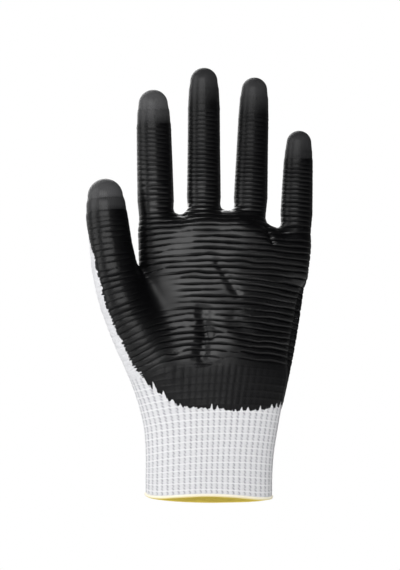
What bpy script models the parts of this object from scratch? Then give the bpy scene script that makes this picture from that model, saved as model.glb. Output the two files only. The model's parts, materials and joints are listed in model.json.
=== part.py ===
"""A left-hand knitted work glove with a dipped nitrile palm, worn on an open hand.

Sizes are in millimetres and are turned into metres when a mesh is made. Z runs up the fingers, the palm
faces -Y, and the thumb is on the -X side. Z = 0 is the open end of the cuff, centred on X = Y = 0.
The fingers and thumb are divided at the lines where a worn glove folds, and each piece turns on its own empty.
"""

import math
from collections import namedtuple

import bmesh
import bpy
from mathutils import Matrix, Vector

MM = 0.001

# The cloth, the dip and the spaces kept between neighbouring pieces
LINER_WALL = 1.0
COAT_WALL = 0.5
LAYER_GAP = 0.3
PIECE_GAP = 0.3
FOLD_GAP = 0.6

# The cuff: an oval knitted tube, flared at the top to meet the palm at the wrist
CUFF_WALL = 1.5
CUFF_HALF_WIDTH = 35.3
CUFF_HALF_DEPTH = 15.0
CUFF_STRAIGHT_TOP = 28.0
CUFF_FLARE_POWER = 1.5
WRIST_Z = 50.0
WRIST_HALF_WIDTH = 39.8
WRIST_HALF_DEPTH = 15.8
WRIST_X = 1.1

# The overlocked hem that wraps the cuff's raw edge, and the elastic yarn laid in the cuff
HEM_WALL = 0.8
HEM_OUTER_LEG = 1.4
HEM_INNER_LEG = 6.5
ELASTIC_RADIUS = 0.35
ELASTIC_PITCH = 4.0
ELASTIC_BOTTOM = 9.0
ELASTIC_TOP = 46.0

# The palm: its height to the webs between the fingers, how much lower the little finger's web is, and its depth
WEB_Z = 163.0
LITTLE_WEB_DROP = 8.0
MID_PALM_HALF_DEPTH = 15.0
KNUCKLE_HALF_DEPTH = 13.0
WEB_HALF_DEPTH = 5.0
WEB_ROUNDING = 12.0
PALM_WIDENING = 1.6
SECTION_POWER = 2.3

# The webs between the four fingers, measured where the fingers leave the palm
INDEX_X = -29.4
WEB_INDEX_MIDDLE = 6.6
WEB_MIDDLE_RING = 6.0
WEB_RING_LITTLE = 7.7
FINGER_DEPTH = 0.92
STUB_TAPER = 0.7

# The dip: how far it reaches round a finger from the palm side, over a fingertip, and above the wrist
COVER_TURN = 105.0
THUMB_COVER_TURN = 97.0
COVER_FADE_TURN = 14.0
TIP_WRAP = 12.0
PALM_COVER_BEHIND = 2.6
THUMB_BARE_FROM = 1.0
COAT_RISE = 1.5
COAT_SIDE_RISE = 4.0
COAT_FOOT_SHARES = (0.16, 0.85)
COAT_PAST_THUMB_EDGE = 1.0

# The folds: the axis lies this far toward the palm side, and the cloth folds into a notch in front of it
AXIS_SHIFT = 3.0
NOTCH_MARGIN = 2.0
BACK_NOTCH = 6.0
ROOT_NOTCH = 26.0
FINGER_FLEX = (70.0, 80.0, 48.0)
THUMB_FLEX = (40.0, 55.0)

# Facets: points round a finger, round the palm and cuff, and along a rounded tip, and where the rings of the
# cuff, the palm and the rounded webs lie as shares of the way up each
FINGER_POINTS = 20
PALM_POINTS = 40
TIP_TURNS = (30.0, 55.0, 74.0)
CUFF_RING_SHARES = (0.0, 0.4, 0.7, 1.0)
PALM_RING_SHARES = (0.0, 0.12, 0.28, 0.48, 0.7, 0.9)
WEB_RING_STEPS = (0.35, 0.7, 0.93)

# rise: heights above the web of each fold and of the tip. radii: over the dip at each fold and at the shoulder
# of the rounded tip. dome: the length of the rounded tip. curl: how far each piece leans toward the palm.
Digit = namedtuple("Digit", "name web_z lean turn rise radii dome curl depth flex cover")

INDEX = Digit("index", WEB_Z, -1.5, 0.0, (6.5, 28.0, 48.5, 69.8), (10.2, 9.9, 9.8, 9.4), 9.8, (4.0, 9.0, 13.0),
              FINGER_DEPTH, FINGER_FLEX, COVER_TURN)
MIDDLE = Digit("middle", WEB_Z, 0.0, 0.0, (9.0, 35.5, 59.0, 81.7), (9.7, 9.35, 9.2, 8.9), 9.6, (4.0, 9.0, 13.0),
               FINGER_DEPTH, FINGER_FLEX, COVER_TURN)
RING = Digit("ring", WEB_Z, 2.0, 0.0, (8.5, 33.0, 54.5, 76.9), (9.9, 9.2, 8.9, 8.6), 9.8, (4.0, 9.0, 13.0),
             FINGER_DEPTH, FINGER_FLEX, COVER_TURN)
LITTLE = Digit("little", WEB_Z - LITTLE_WEB_DROP, 2.0, 0.0, (7.0, 22.5, 36.5, 54.0), (9.0, 8.8, 8.4, 7.7), 8.4,
               (4.0, 9.0, 13.0), FINGER_DEPTH, FINGER_FLEX, COVER_TURN)
THUMB_WEB_Z = 134.8
THUMB = Digit("thumb", THUMB_WEB_Z, -9.5, 45.0, (7.0, 24.0, 47.4), (12.9, 11.9, 10.8), 10.2, (3.0, 7.0),
              FINGER_DEPTH, THUMB_FLEX, THUMB_COVER_TURN)

# The thumb's root, from the wrist up to its fold: height, centre X, centre Y, radius, and how far round to
# the back of the thumb, from straight in front, the edge of the dip has come
ThumbRing = namedtuple("ThumbRing", "z x y radius edge_turn")
THUMB_ROOT = (
    ThumbRing(64.0, -25.0, 0.0, 12.0, 8.0),
    ThumbRing(76.0, -33.0, -2.5, 14.4, 30.0),
    ThumbRing(92.0, -40.4, -4.5, 14.6, 42.0),
    ThumbRing(109.0, -47.2, -6.0, 14.2, 49.0),
    ThumbRing(126.0, -52.0, -7.0, 13.6, 49.0),
    ThumbRing(THUMB_WEB_Z, -53.9, -7.5, 13.1, 49.0),
)

FINGERS = (INDEX, MIDDLE, RING, LITTLE)
FINGER_PIECES = ("proximal", "middle", "distal")
THUMB_PIECES = ("proximal", "distal")


# Materials

def linear(channel):
    """One 0-255 display channel as the linear value that a Principled shader takes."""
    value = channel / 255.0
    return value / 12.92 if value <= 0.04045 else ((value + 0.055) / 1.055) ** 2.4


def material(name, red, green, blue, roughness):
    made = bpy.data.materials.new(name)
    made.use_nodes = True
    shader = made.node_tree.nodes["Principled BSDF"]
    colour = (linear(red), linear(green), linear(blue), 1.0)
    shader.inputs["Base Color"].default_value = colour
    shader.inputs["Roughness"].default_value = roughness
    shader.inputs["Metallic"].default_value = 0.0
    made.diffuse_color = colour
    return made


# Mesh tools

def loft(loops, closed=True, wrap=False):
    """Joins loops of points into one closed skin. Open loops are arcs, and wrap joins the last loop to the first.

    A loop of one point is a pole. Without wrap, the first and last loops are filled. The faces are split the
    same way in every skin, so that the skins of two layers stay the same distance apart.
    """
    mesh = bmesh.new()
    rows = [[mesh.verts.new(point) for point in loop] for loop in loops]
    pairs = list(zip(rows, rows[1:]))
    if wrap:
        pairs.append((rows[-1], rows[0]))
    for low, high in pairs:
        count = max(len(low), len(high))
        for i in range(count if closed else count - 1):
            j = (i + 1) % count
            if len(low) == 1:
                mesh.faces.new((low[0], high[i], high[j]))
            elif len(high) == 1:
                mesh.faces.new((low[i], low[j], high[0]))
            else:
                mesh.faces.new((low[i], low[j], high[j]))
                mesh.faces.new((low[i], high[j], high[i]))
    if not closed:
        mesh.faces.new([row[0] for row in rows])
        mesh.faces.new([row[-1] for row in reversed(rows)])
    elif not wrap:
        for row in (rows[0], rows[-1]):
            if len(row) > 1:
                fan_fill(mesh, row)
    bmesh.ops.triangulate(mesh, faces=mesh.faces)
    bmesh.ops.recalc_face_normals(mesh, faces=mesh.faces)
    return mesh


def fan_fill(mesh, row):
    """Fills a loop that need not be flat with a fan about its middle."""
    centre = mesh.verts.new(sum((vert.co for vert in row), Vector()) / len(row))
    for i, vert in enumerate(row):
        mesh.faces.new((vert, row[(i + 1) % len(row)], centre))


def add_object(name, mesh, look=None, pivot=None):
    """Places a mesh, given in millimetres, under the empty of its fold or straight in the scene."""
    origin = pivot.matrix_world.translation if pivot else Vector()
    mesh.transform(Matrix.Translation(-origin) @ Matrix.Scale(MM, 4))
    data = bpy.data.meshes.new(name)
    mesh.to_mesh(data)
    mesh.free()
    made = bpy.data.objects.new(name, data)
    bpy.context.scene.collection.objects.link(made)
    if look:
        data.materials.append(look)
        data.shade_smooth()
    else:
        made.hide_render = True
        made.display_type = "WIRE"
    if pivot:
        made.parent = pivot
    return made


def add_boolean(target, operation, other):
    modifier = target.modifiers.new(operation.title(), "BOOLEAN")
    modifier.operation = operation
    modifier.object = other


# Digits: where each piece of a finger or the thumb lies

Piece = namedtuple("Piece", "name start along palmar side length radii flex pivot")


def digit_directions(digit, curl):
    """(along, palmar, side) of a piece that has curled this many degrees toward the palm."""
    straight = Vector((math.sin(math.radians(digit.lean)), 0.0, math.cos(math.radians(digit.lean))))
    front = Matrix.Rotation(math.radians(digit.turn), 3, straight) @ Vector((0.0, -1.0, 0.0))
    side = straight.cross(front).normalized()
    along = Matrix.Rotation(math.radians(curl), 3, side) @ straight
    return along, side.cross(along), side


def digit_root(digit, x, y):
    """The centre of a digit at its first fold, from its centre at the web."""
    along, _, _ = digit_directions(digit, 0.0)
    return Vector((x, y, digit.web_z)) + along * (digit.rise[0] / along.z)


def add_pivot(name, place, parent):
    pivot = bpy.data.objects.new(name, None)
    bpy.context.scene.collection.objects.link(pivot)
    pivot.empty_display_size = 5.0 * MM
    pivot.parent = parent
    pivot.location = place * MM - (parent.matrix_world.translation if parent else Vector())
    bpy.context.view_layer.update()
    return pivot


def digit_pieces(digit, x, y, names):
    """The digit's pieces in order, each with the empty it turns on."""
    pieces = []
    start = digit_root(digit, x, y)
    pivot = None
    for k, name in enumerate(names):
        along, palmar, side = digit_directions(digit, digit.curl[k])
        length = (digit.rise[k + 1] - digit.rise[k]) / along.z
        pivot = add_pivot(f"{digit.name}_{name}_fold", start + palmar * AXIS_SHIFT, pivot)
        radii = (digit.radii[k], digit.radii[k + 1])
        pieces.append(Piece(name, start, along, palmar, side, length, radii, digit.flex[k], pivot))
        start = start + along * length
    return pieces


def notch(depth, turn):
    """How far an end is cut back at this depth toward the palm side, so that the fold can close."""
    palm_side = math.tan(math.radians(turn)) * max(0.0, depth - AXIS_SHIFT)
    back = math.tan(math.radians(BACK_NOTCH)) * max(0.0, AXIS_SHIFT - depth)
    return FOLD_GAP / 2 + palm_side + back


def shared_notch(flex, bend):
    """The notch on each of two pieces that meet at a fold, which together take its whole turn."""
    return (flex + bend + NOTCH_MARGIN) / 2


def point_on(piece, depth_share, s, radius, turn):
    """The point at s along a piece and turned this many radians round from its palm side."""
    across = piece.palmar * (math.cos(turn) * depth_share) + piece.side * math.sin(turn)
    return piece.start + piece.along * s + across * radius


def turns_round():
    return [2 * math.pi * i / FINGER_POINTS for i in range(FINGER_POINTS)]


def turns_covered(cover):
    """The turns from one edge of the dip to the other, with the palm side in the middle."""
    half = math.radians(cover)
    steps = round(FINGER_POINTS * cover / 180.0)
    return [half * (2 * i / steps - 1) for i in range(steps + 1)]


def digit_notches(digit, pieces):
    """(at its start, at its end) of each piece: the notch's turn, or None at a closed tip."""
    found = []
    bends = [digit.curl[0]] + [b - a for a, b in zip(digit.curl, digit.curl[1:])]
    for k, piece in enumerate(pieces):
        if k == 0:
            start = piece.flex + bends[0] + NOTCH_MARGIN - ROOT_NOTCH
        else:
            start = shared_notch(piece.flex, bends[k])
        last = k == len(pieces) - 1
        end = None if last else shared_notch(pieces[k + 1].flex, bends[k + 1])
        found.append((start, end))
    return found


def tube_loops(piece, digit, inset, notches, turns):
    """The two end loops of an open piece, this far in from the surface of the dip."""
    loops = []
    for at_end in (False, True):
        radius = piece.radii[at_end] - inset
        loop = []
        for turn in turns:
            cut = notch(radius * digit.depth * math.cos(turn), notches[at_end])
            s = piece.length - cut if at_end else cut
            loop.append(point_on(piece, digit.depth, s, radius, turn))
        loops.append(loop)
    return loops


def tip_loops(piece, digit, inset, start_of, turns):
    """The loops of a closed fingertip, from its open end to the pole, this far in from the surface."""
    shoulder = piece.length - digit.dome
    base, top = (radius - inset for radius in piece.radii)
    dome = digit.dome - inset
    first = []
    for turn in turns:
        s = start_of(turn, base)
        share = s / shoulder
        first.append(point_on(piece, digit.depth, s, base + (top - base) * share, turn))
    loops = [first, [point_on(piece, digit.depth, shoulder, top, turn) for turn in turns]]
    for rise in TIP_TURNS:
        s = shoulder + dome * math.sin(math.radians(rise))
        radius = top * math.cos(math.radians(rise))
        loops.append([point_on(piece, digit.depth, s, radius, turn) for turn in turns])
    loops.append([piece.start + piece.along * (shoulder + dome)])
    return loops


LINER_INSET = COAT_WALL + LAYER_GAP
HOLLOW_INSET = LINER_INSET + LINER_WALL


def add_open_piece(digit, piece, notches, looks):
    """A piece of a finger between two folds: the knitted tube, and the dip over its palm side."""
    outer = tube_loops(piece, digit, LINER_INSET, notches, turns_round())
    inner = tube_loops(piece, digit, HOLLOW_INSET, notches, turns_round())
    name = f"{digit.name}_{piece.name}"
    add_object(f"{name}_liner", loft(outer + inner[::-1], wrap=True), looks["liner"], piece.pivot)
    covered = turns_covered(digit.cover)
    outer = tube_loops(piece, digit, 0.0, notches, covered)
    inner = tube_loops(piece, digit, COAT_WALL, notches, covered)
    skin = loft(outer + inner[::-1], closed=False, wrap=True)
    add_object(f"{name}_coating", skin, looks["coating"], piece.pivot)


def add_tip_piece(digit, piece, notches, looks):
    """The last piece of a finger: a closed knitted tip, and a dipped cup that wraps over its end."""
    rim = piece.length - TIP_WRAP

    def knit_start(turn, radius):
        return notch(radius * digit.depth * math.cos(turn), notches[0])

    def dip_start(turn, radius):
        beyond = abs(math.remainder(turn, 2 * math.pi)) - math.radians(digit.cover - COVER_FADE_TURN)
        fade = min(1.0, max(0.0, beyond / math.radians(2 * COVER_FADE_TURN)))
        fade = fade * fade * (3 - 2 * fade)
        return knit_start(turn, radius) * (1 - fade) + rim * fade

    name = f"{digit.name}_{piece.name}"
    for layer, inset, wall, start in (("liner", LINER_INSET, LINER_WALL, knit_start),
                                      ("coating", 0.0, COAT_WALL, dip_start)):
        outer = tip_loops(piece, digit, inset, start, turns_round())
        inner = tip_loops(piece, digit, inset + wall, start, turns_round())
        add_object(f"{name}_{layer}", cup(outer, inner), looks[layer], piece.pivot)


def cup(outer, inner):
    """A closed cup: the outer loops run from the rim to a pole, and so do the inner ones."""
    return loft([outer[-1]] + outer[-2::-1] + inner)


# The palm

def finger_x():
    """The centre of each finger at the web, worked along from the index finger."""
    places = [INDEX_X]
    webs = (WEB_INDEX_MIDDLE, WEB_MIDDLE_RING, WEB_RING_LITTLE)
    for before, after, web in zip(FINGERS, FINGERS[1:], webs):
        places.append(places[-1] + before.radii[0] + web + after.radii[0])
    return places


def smoothstep(value):
    value = min(1.0, max(0.0, value))
    return value * value * (3 - 2 * value)


def palm_edges(share):
    """(left, right) of the palm at this share of the way from the wrist to the webs."""
    xs = finger_x()
    left = xs[0] - INDEX.radii[0]
    right = xs[-1] + LITTLE.radii[0]
    widened = 1 - (1 - share) ** PALM_WIDENING
    low_left, low_right = WRIST_X - WRIST_HALF_WIDTH, WRIST_X + WRIST_HALF_WIDTH
    return low_left + (left - low_left) * share, low_right + (right - low_right) * widened


def oval(centre_x, half_width, half_depth, z, power, inset):
    """A rounded oval loop; z is a number, or a function of x."""
    loop = []
    for i in range(PALM_POINTS):
        turn = 2 * math.pi * i / PALM_POINTS
        c, s = math.cos(turn), math.sin(turn)
        x = centre_x + math.copysign(abs(c) ** (2 / power), c) * (half_width - inset)
        y = math.copysign(abs(s) ** (2 / power), s) * (half_depth - inset)
        loop.append(Vector((x, y, z(x) if callable(z) else z)))
    return loop


def web_height(x):
    """The height of the webs: level up to the ring finger, then falling to the little finger's web."""
    ring_x, little_x = finger_x()[2:]
    high, low = ring_x - RING.radii[0], little_x - LITTLE.radii[0]
    fall = smoothstep((x - high) / (low - high))
    return WEB_Z - LITTLE_WEB_DROP * fall


def palm_loops(inset, below):
    """Loops of the palm from the wrist up to the rounded webs. A hollow starts further below the wrist."""
    loops = []
    top_z = WRIST_Z + PIECE_GAP
    straight = WEB_Z - WEB_ROUNDING - top_z
    if below:
        left, right = palm_edges(0.0)
        loops.append(oval((left + right) / 2, (right - left) / 2, WRIST_HALF_DEPTH, top_z - below,
                          SECTION_POWER, inset))
    for share in PALM_RING_SHARES:
        left, right = palm_edges(share)
        depth = WRIST_HALF_DEPTH + (MID_PALM_HALF_DEPTH - WRIST_HALF_DEPTH) * min(1.0, share * 2)
        depth += (KNUCKLE_HALF_DEPTH - MID_PALM_HALF_DEPTH) * max(0.0, share * 2 - 1)

        def level(x, share=share):
            return top_z + share * (web_height(x) - WEB_ROUNDING - top_z)

        loops.append(oval((left + right) / 2, (right - left) / 2, depth, level if share else top_z,
                          SECTION_POWER, inset))
    left, right = palm_edges(1.0)
    for step in WEB_RING_STEPS:
        thinner = math.sqrt(1 - step * step)
        depth = WEB_HALF_DEPTH + (KNUCKLE_HALF_DEPTH - WEB_HALF_DEPTH) * thinner

        def level(x, step=step):
            return web_height(x) - WEB_ROUNDING + (WEB_ROUNDING - inset) * step

        loops.append(oval((left + right) / 2, (right - left) / 2, depth, level, SECTION_POWER, inset))
    return loops


def root_end(foot, digit, radius, past):
    """The notched loop where a digit's root meets its first fold, or this far past it for a hollow."""
    loop = []
    for turn in turns_round():
        cut = notch(radius * digit.depth * math.cos(turn), ROOT_NOTCH)
        loop.append(point_on(foot, digit.depth, past - cut, radius, turn))
    return loop


def finger_stub(digit, x, inset, beyond):
    """The start of a finger, from inside the palm up to its first fold. A hollow runs on beyond the fold."""
    along, palmar, side = digit_directions(digit, 0.0)
    top = digit_root(digit, x, 0.0)
    foot = Piece("stub", top, along, palmar, side, 0.0, None, None, None)
    radius = digit.radii[0] - inset
    low = inset - digit.rise[0] - 2 * WEB_ROUNDING
    slim = digit.radii[0] * STUB_TAPER - inset
    loops = [[point_on(foot, digit.depth, low, slim, turn) for turn in turns_round()]]
    for past in (0.0, beyond) if beyond else (0.0,):
        loops.append(root_end(foot, digit, radius, past))
    return loft(loops)


def thumb_stub(inset, beyond):
    """The thumb's root, from inside the palm near the wrist up to the thumb's first fold."""
    loops = []
    for k, ring in enumerate(THUMB_ROOT):
        after = THUMB_ROOT[min(k + 1, len(THUMB_ROOT) - 1)]
        before = THUMB_ROOT[max(k - 1, 0)]
        path = Vector((after.x - before.x, after.y - before.y, after.z - before.z)).normalized()
        side = path.cross(Vector((0.0, -1.0, 0.0))).normalized()
        front = side.cross(path)
        centre = Vector((ring.x, ring.y, ring.z))
        loop = []
        for turn in turns_round():
            turn += math.radians(THUMB.turn)
            across = front * math.cos(turn) + side * math.sin(turn)
            loop.append(centre + across * (ring.radius - inset))
        loops.append(loop)
    along, palmar, side = digit_directions(THUMB, 0.0)
    top = digit_root(THUMB, THUMB_ROOT[-1].x, THUMB_ROOT[-1].y)
    foot = Piece("stub", top, along, palmar, side, 0.0, None, None, None)
    for past in (0.0, beyond) if beyond else (0.0,):
        loops.append(root_end(foot, THUMB, THUMB.radii[0] - inset, past))
    return loft(loops)


def add_palm_form(name, look, inset, below, beyond):
    """The palm with the starts of the four fingers and the thumb joined to it, this far in from the dip."""
    form = add_object(name, loft(palm_loops(inset, below)), look)
    for digit, x in zip(FINGERS, finger_x()):
        stub = add_object(f"{name}_{digit.name}_stub", finger_stub(digit, x, inset, beyond))
        add_boolean(form, "UNION", stub)
    stub = add_object(f"{name}_thumb_stub", thumb_stub(inset, beyond))
    add_boolean(form, "UNION", stub)
    return form


def coat_outline():
    """The edge of the dip seen from in front: up the thumb's outer side, and along just above the wrist."""
    thumb_side = []
    for ring in THUMB_ROOT:
        thumb_side.append((ring.x - ring.radius * math.sin(math.radians(ring.edge_turn)), ring.z))
    wrist_left, wrist_right = palm_edges(0.0)
    low = WRIST_Z + PIECE_GAP + COAT_RISE
    side = WRIST_Z + PIECE_GAP + COAT_SIDE_RISE
    beyond_x = THUMB_ROOT[-1].x - 2 * THUMB_ROOT[-1].radius
    top = WEB_Z + MIDDLE.rise[1]
    first = thumb_side[0]
    foot = [(wrist_left + (wrist_right - wrist_left) * share, low) for share in COAT_FOOT_SHARES]
    right = 2 * wrist_right
    last = thumb_side[-1]
    fold_z = last[1] + THUMB.rise[0] * 2
    return (thumb_side[::-1] + [((first[0] + foot[0][0]) / 2, (first[1] + low) / 2)] + foot
            + [(wrist_right, side), (right, side), (right, top), (beyond_x, top), (beyond_x, fold_z),
               (last[0] - COAT_PAST_THUMB_EDGE, fold_z)])


def thumb_back():
    """A block behind the middle of the thumb's root, which the dip leaves bare."""
    top = THUMB_ROOT[-1]
    web_x = top.x + top.radius
    mesh = bmesh.new()
    bmesh.ops.create_cube(mesh, size=1.0)
    size = Vector((2 * top.radius, 2 * top.radius, 2 * THUMB_WEB_Z))
    middle = Vector((web_x - size.x, top.y + THUMB_BARE_FROM + size.y / 2, size.z / 2 + THUMB.rise[1]))
    mesh.transform(Matrix.Translation(middle) @ Matrix.Diagonal((size.x * 2, size.y, size.z)).to_4x4())
    return mesh


def coat_front():
    """A block of everything that the dip covers on the palm: the outline, run from in front to the sides."""
    front = -4 * KNUCKLE_HALF_DEPTH
    loops = [[Vector((x, y, z)) for x, z in coat_outline()] for y in (front, PALM_COVER_BEHIND)]
    mesh = bmesh.new()
    rows = [[mesh.verts.new(point) for point in loop] for loop in loops]
    count = len(rows[0])
    for i in range(count):
        j = (i + 1) % count
        mesh.faces.new((rows[0][i], rows[0][j], rows[1][j], rows[1][i]))
    mesh.faces.new(rows[0])
    mesh.faces.new(rows[1][::-1])
    bmesh.ops.triangulate(mesh, faces=mesh.faces)
    bmesh.ops.recalc_face_normals(mesh, faces=mesh.faces)
    return mesh


def add_palm(looks):
    past = 2 * (KNUCKLE_HALF_DEPTH * math.tan(math.radians(ROOT_NOTCH)) + FOLD_GAP)
    palm = add_palm_form("palm_liner", looks["liner"], LINER_INSET, 0.0, 0.0)
    hollow = add_palm_form("palm_hollow", None, HOLLOW_INSET, 2 * LINER_WALL, past)
    add_boolean(palm, "DIFFERENCE", hollow)
    coat = add_palm_form("palm_coating", looks["coating"], 0.0, 0.0, 0.0)
    core = add_palm_form("palm_core", None, COAT_WALL, 2 * LINER_WALL, past)
    add_boolean(coat, "INTERSECT", add_object("coat_front", coat_front()))
    add_boolean(coat, "DIFFERENCE", add_object("thumb_back", thumb_back()))
    add_boolean(coat, "DIFFERENCE", core)


# The cuff

def cuff_size(z):
    """(centre X, half width, half depth) of the cuff's outside at a height."""
    flare = max(0.0, (z - CUFF_STRAIGHT_TOP) / (WRIST_Z - CUFF_STRAIGHT_TOP)) ** CUFF_FLARE_POWER
    top_width = WRIST_HALF_WIDTH - LINER_INSET
    top_depth = WRIST_HALF_DEPTH - LINER_INSET
    return (WRIST_X * flare, CUFF_HALF_WIDTH + (top_width - CUFF_HALF_WIDTH) * flare,
            CUFF_HALF_DEPTH + (top_depth - CUFF_HALF_DEPTH) * flare)


def cuff_loop(z, inset):
    centre, width, depth = cuff_size(z)
    return oval(centre, width, depth, z, SECTION_POWER, inset)


def add_cuff(look):
    flare = WRIST_Z - CUFF_STRAIGHT_TOP
    heights = [HEM_WALL + PIECE_GAP] + [CUFF_STRAIGHT_TOP + flare * share for share in CUFF_RING_SHARES]
    outer = [cuff_loop(z, 0.0) for z in heights]
    inner = [cuff_loop(z, CUFF_WALL) for z in reversed(heights)]
    add_object("knit_cuff", loft(outer + inner, wrap=True), look)


def add_hem(look):
    """The overlocked edge: a U of yarn round the cuff's raw edge, with its longer leg inside the cuff."""
    outside = -(PIECE_GAP + HEM_WALL)
    inside = CUFF_WALL + PIECE_GAP
    section = (
        (outside, 0.0), (outside, HEM_OUTER_LEG), (-PIECE_GAP, HEM_OUTER_LEG), (-PIECE_GAP, HEM_WALL),
        (inside, HEM_WALL), (inside, HEM_INNER_LEG), (inside + HEM_WALL, HEM_INNER_LEG), (inside + HEM_WALL, 0.0),
    )
    add_object("hem_overlock", loft([cuff_loop(z, inset) for inset, z in section], wrap=True), look)


def add_elastic(look):
    """The elastic yarn laid against the inside of the cuff, in one winding from the hem to the wrist."""
    curve = bpy.data.curves.new("cuff_elastic", "CURVE")
    curve.dimensions = "3D"
    curve.bevel_depth = ELASTIC_RADIUS * MM
    curve.bevel_resolution = 0
    curve.use_fill_caps = True
    inset = CUFF_WALL + PIECE_GAP + ELASTIC_RADIUS
    count = int((ELASTIC_TOP - ELASTIC_BOTTOM) / ELASTIC_PITCH * PALM_POINTS / 2)
    spline = curve.splines.new("POLY")
    spline.points.add(count)
    for i, point in enumerate(spline.points):
        z = ELASTIC_BOTTOM + (ELASTIC_TOP - ELASTIC_BOTTOM) * i / count
        place = cuff_loop(z, inset)[(2 * i) % PALM_POINTS]
        point.co = (place.x * MM, place.y * MM, place.z * MM, 1.0)
    curve.materials.append(look)
    made = bpy.data.objects.new("cuff_elastic", curve)
    bpy.context.scene.collection.objects.link(made)


# The glove

for old in list(bpy.data.objects):
    bpy.data.objects.remove(old)

LOOKS = {
    "liner": material("white_knit", 222, 222, 224, 0.9),
    "coating": material("black_nitrile", 40, 40, 42, 0.45),
    "elastic": material("white_elastic", 235, 235, 235, 0.7),
    "hem": material("yellow_overlock", 222, 206, 128, 0.85),
}

add_cuff(LOOKS["liner"])
add_hem(LOOKS["hem"])
add_elastic(LOOKS["elastic"])
add_palm(LOOKS)
thumb_place = (THUMB_ROOT[-1].x, THUMB_ROOT[-1].y)
digits = [(digit, x, 0.0, FINGER_PIECES) for digit, x in zip(FINGERS, finger_x())]
digits.append((THUMB, *thumb_place, THUMB_PIECES))
for digit, x, y, names in digits:
    pieces = digit_pieces(digit, x, y, names)
    notches = digit_notches(digit, pieces)
    for piece, cuts in zip(pieces[:-1], notches):
        add_open_piece(digit, piece, cuts, LOOKS)
    add_tip_piece(digit, pieces[-1], notches[-1], LOOKS)
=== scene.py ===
import json
import math

import bmesh
import bpy
import numpy as np
from mathutils import Matrix, Vector


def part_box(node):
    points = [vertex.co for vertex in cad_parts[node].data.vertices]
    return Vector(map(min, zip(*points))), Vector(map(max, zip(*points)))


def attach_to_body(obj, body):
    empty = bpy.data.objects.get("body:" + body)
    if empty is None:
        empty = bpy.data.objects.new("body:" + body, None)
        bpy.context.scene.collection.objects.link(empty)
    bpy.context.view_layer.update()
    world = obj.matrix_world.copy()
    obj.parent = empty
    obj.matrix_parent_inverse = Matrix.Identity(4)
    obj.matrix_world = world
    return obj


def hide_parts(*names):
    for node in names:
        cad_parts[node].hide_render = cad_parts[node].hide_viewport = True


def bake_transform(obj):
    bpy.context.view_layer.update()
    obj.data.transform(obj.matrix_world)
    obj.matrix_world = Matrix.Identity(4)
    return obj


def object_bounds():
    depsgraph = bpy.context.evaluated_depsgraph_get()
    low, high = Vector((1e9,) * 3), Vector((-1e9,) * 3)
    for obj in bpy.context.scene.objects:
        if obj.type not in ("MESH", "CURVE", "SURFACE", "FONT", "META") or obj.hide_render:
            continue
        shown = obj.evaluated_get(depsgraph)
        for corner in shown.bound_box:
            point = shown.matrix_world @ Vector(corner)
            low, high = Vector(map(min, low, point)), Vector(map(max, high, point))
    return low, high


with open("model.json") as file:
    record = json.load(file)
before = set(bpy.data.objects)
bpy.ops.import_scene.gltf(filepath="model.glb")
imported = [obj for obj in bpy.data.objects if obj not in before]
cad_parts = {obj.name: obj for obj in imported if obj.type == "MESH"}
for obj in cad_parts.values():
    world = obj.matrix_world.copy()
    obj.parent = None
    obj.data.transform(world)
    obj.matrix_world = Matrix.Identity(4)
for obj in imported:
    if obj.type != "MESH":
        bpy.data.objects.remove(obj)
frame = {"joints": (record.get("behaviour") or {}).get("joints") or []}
cad_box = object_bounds()


# ---------------------------------------------------------------------------------------------------------
# The studio: a long lens a little below the glove, which looks up into the open cuff, a pale floor, and soft
# light that comes mostly from the left. The camera sees the room as even white and the floor as even grey.
# ---------------------------------------------------------------------------------------------------------

LOOK_AT = Vector((-0.0048, 0.0, 0.1212))
LOOK_UP_TURN = math.radians(8.5)
CAMERA_AWAY = 1.2
FRAME_HEIGHT = 0.3218
SENSOR_WIDTH = 36.0
WHITE = (1.0, 1.0, 1.0, 1.0)

# How bright the room is in reflections: before and behind the glove, and what its right side keeps of that
ROOM_FRONT = 0.04
ROOM_BACKDROP = 0.9
ROOM_RIGHT_SHARE = 0.16
ROOM_DEPTH_FADE = (-0.1, 0.6)
ROOM_SIDE_FADE = (-0.6, 0.3)

camera_data = bpy.data.cameras.new("camera")
camera = bpy.data.objects.new("camera", camera_data)
bpy.context.scene.collection.objects.link(camera)
toward = Vector((0.0, -math.cos(LOOK_UP_TURN), -math.sin(LOOK_UP_TURN)))
camera.location = LOOK_AT + toward * CAMERA_AWAY
camera.rotation_euler = toward.to_track_quat("Z", "Y").to_euler()
camera_data.sensor_width = SENSOR_WIDTH
camera_data.lens = SENSOR_WIDTH * CAMERA_AWAY / FRAME_HEIGHT
camera_data.clip_start = 0.05
bpy.context.scene.camera = camera
bpy.context.scene.view_settings.view_transform = "Standard"


def show_camera(tree, seen, otherwise, surface):
    """Gives the camera one shader, and light and reflections another."""
    choose = tree.nodes.new("ShaderNodeMixShader")
    path = tree.nodes.new("ShaderNodeLightPath")
    tree.links.new(path.outputs["Is Camera Ray"], choose.inputs["Fac"])
    tree.links.new(otherwise, choose.inputs[1])
    tree.links.new(seen, choose.inputs[2])
    tree.links.new(choose.outputs[0], surface)


def room_fade(tree, direction, fade, start, end):
    """A brightness that eases from one value to another across the room."""
    ease = tree.nodes.new("ShaderNodeMapRange")
    ease.interpolation_type = "SMOOTHSTEP"
    for name, value in zip(("From Min", "From Max", "To Min", "To Max"), (*fade, start, end)):
        ease.inputs[name].default_value = value
    tree.links.new(direction, ease.inputs["Value"])
    return ease.outputs["Result"]


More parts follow.
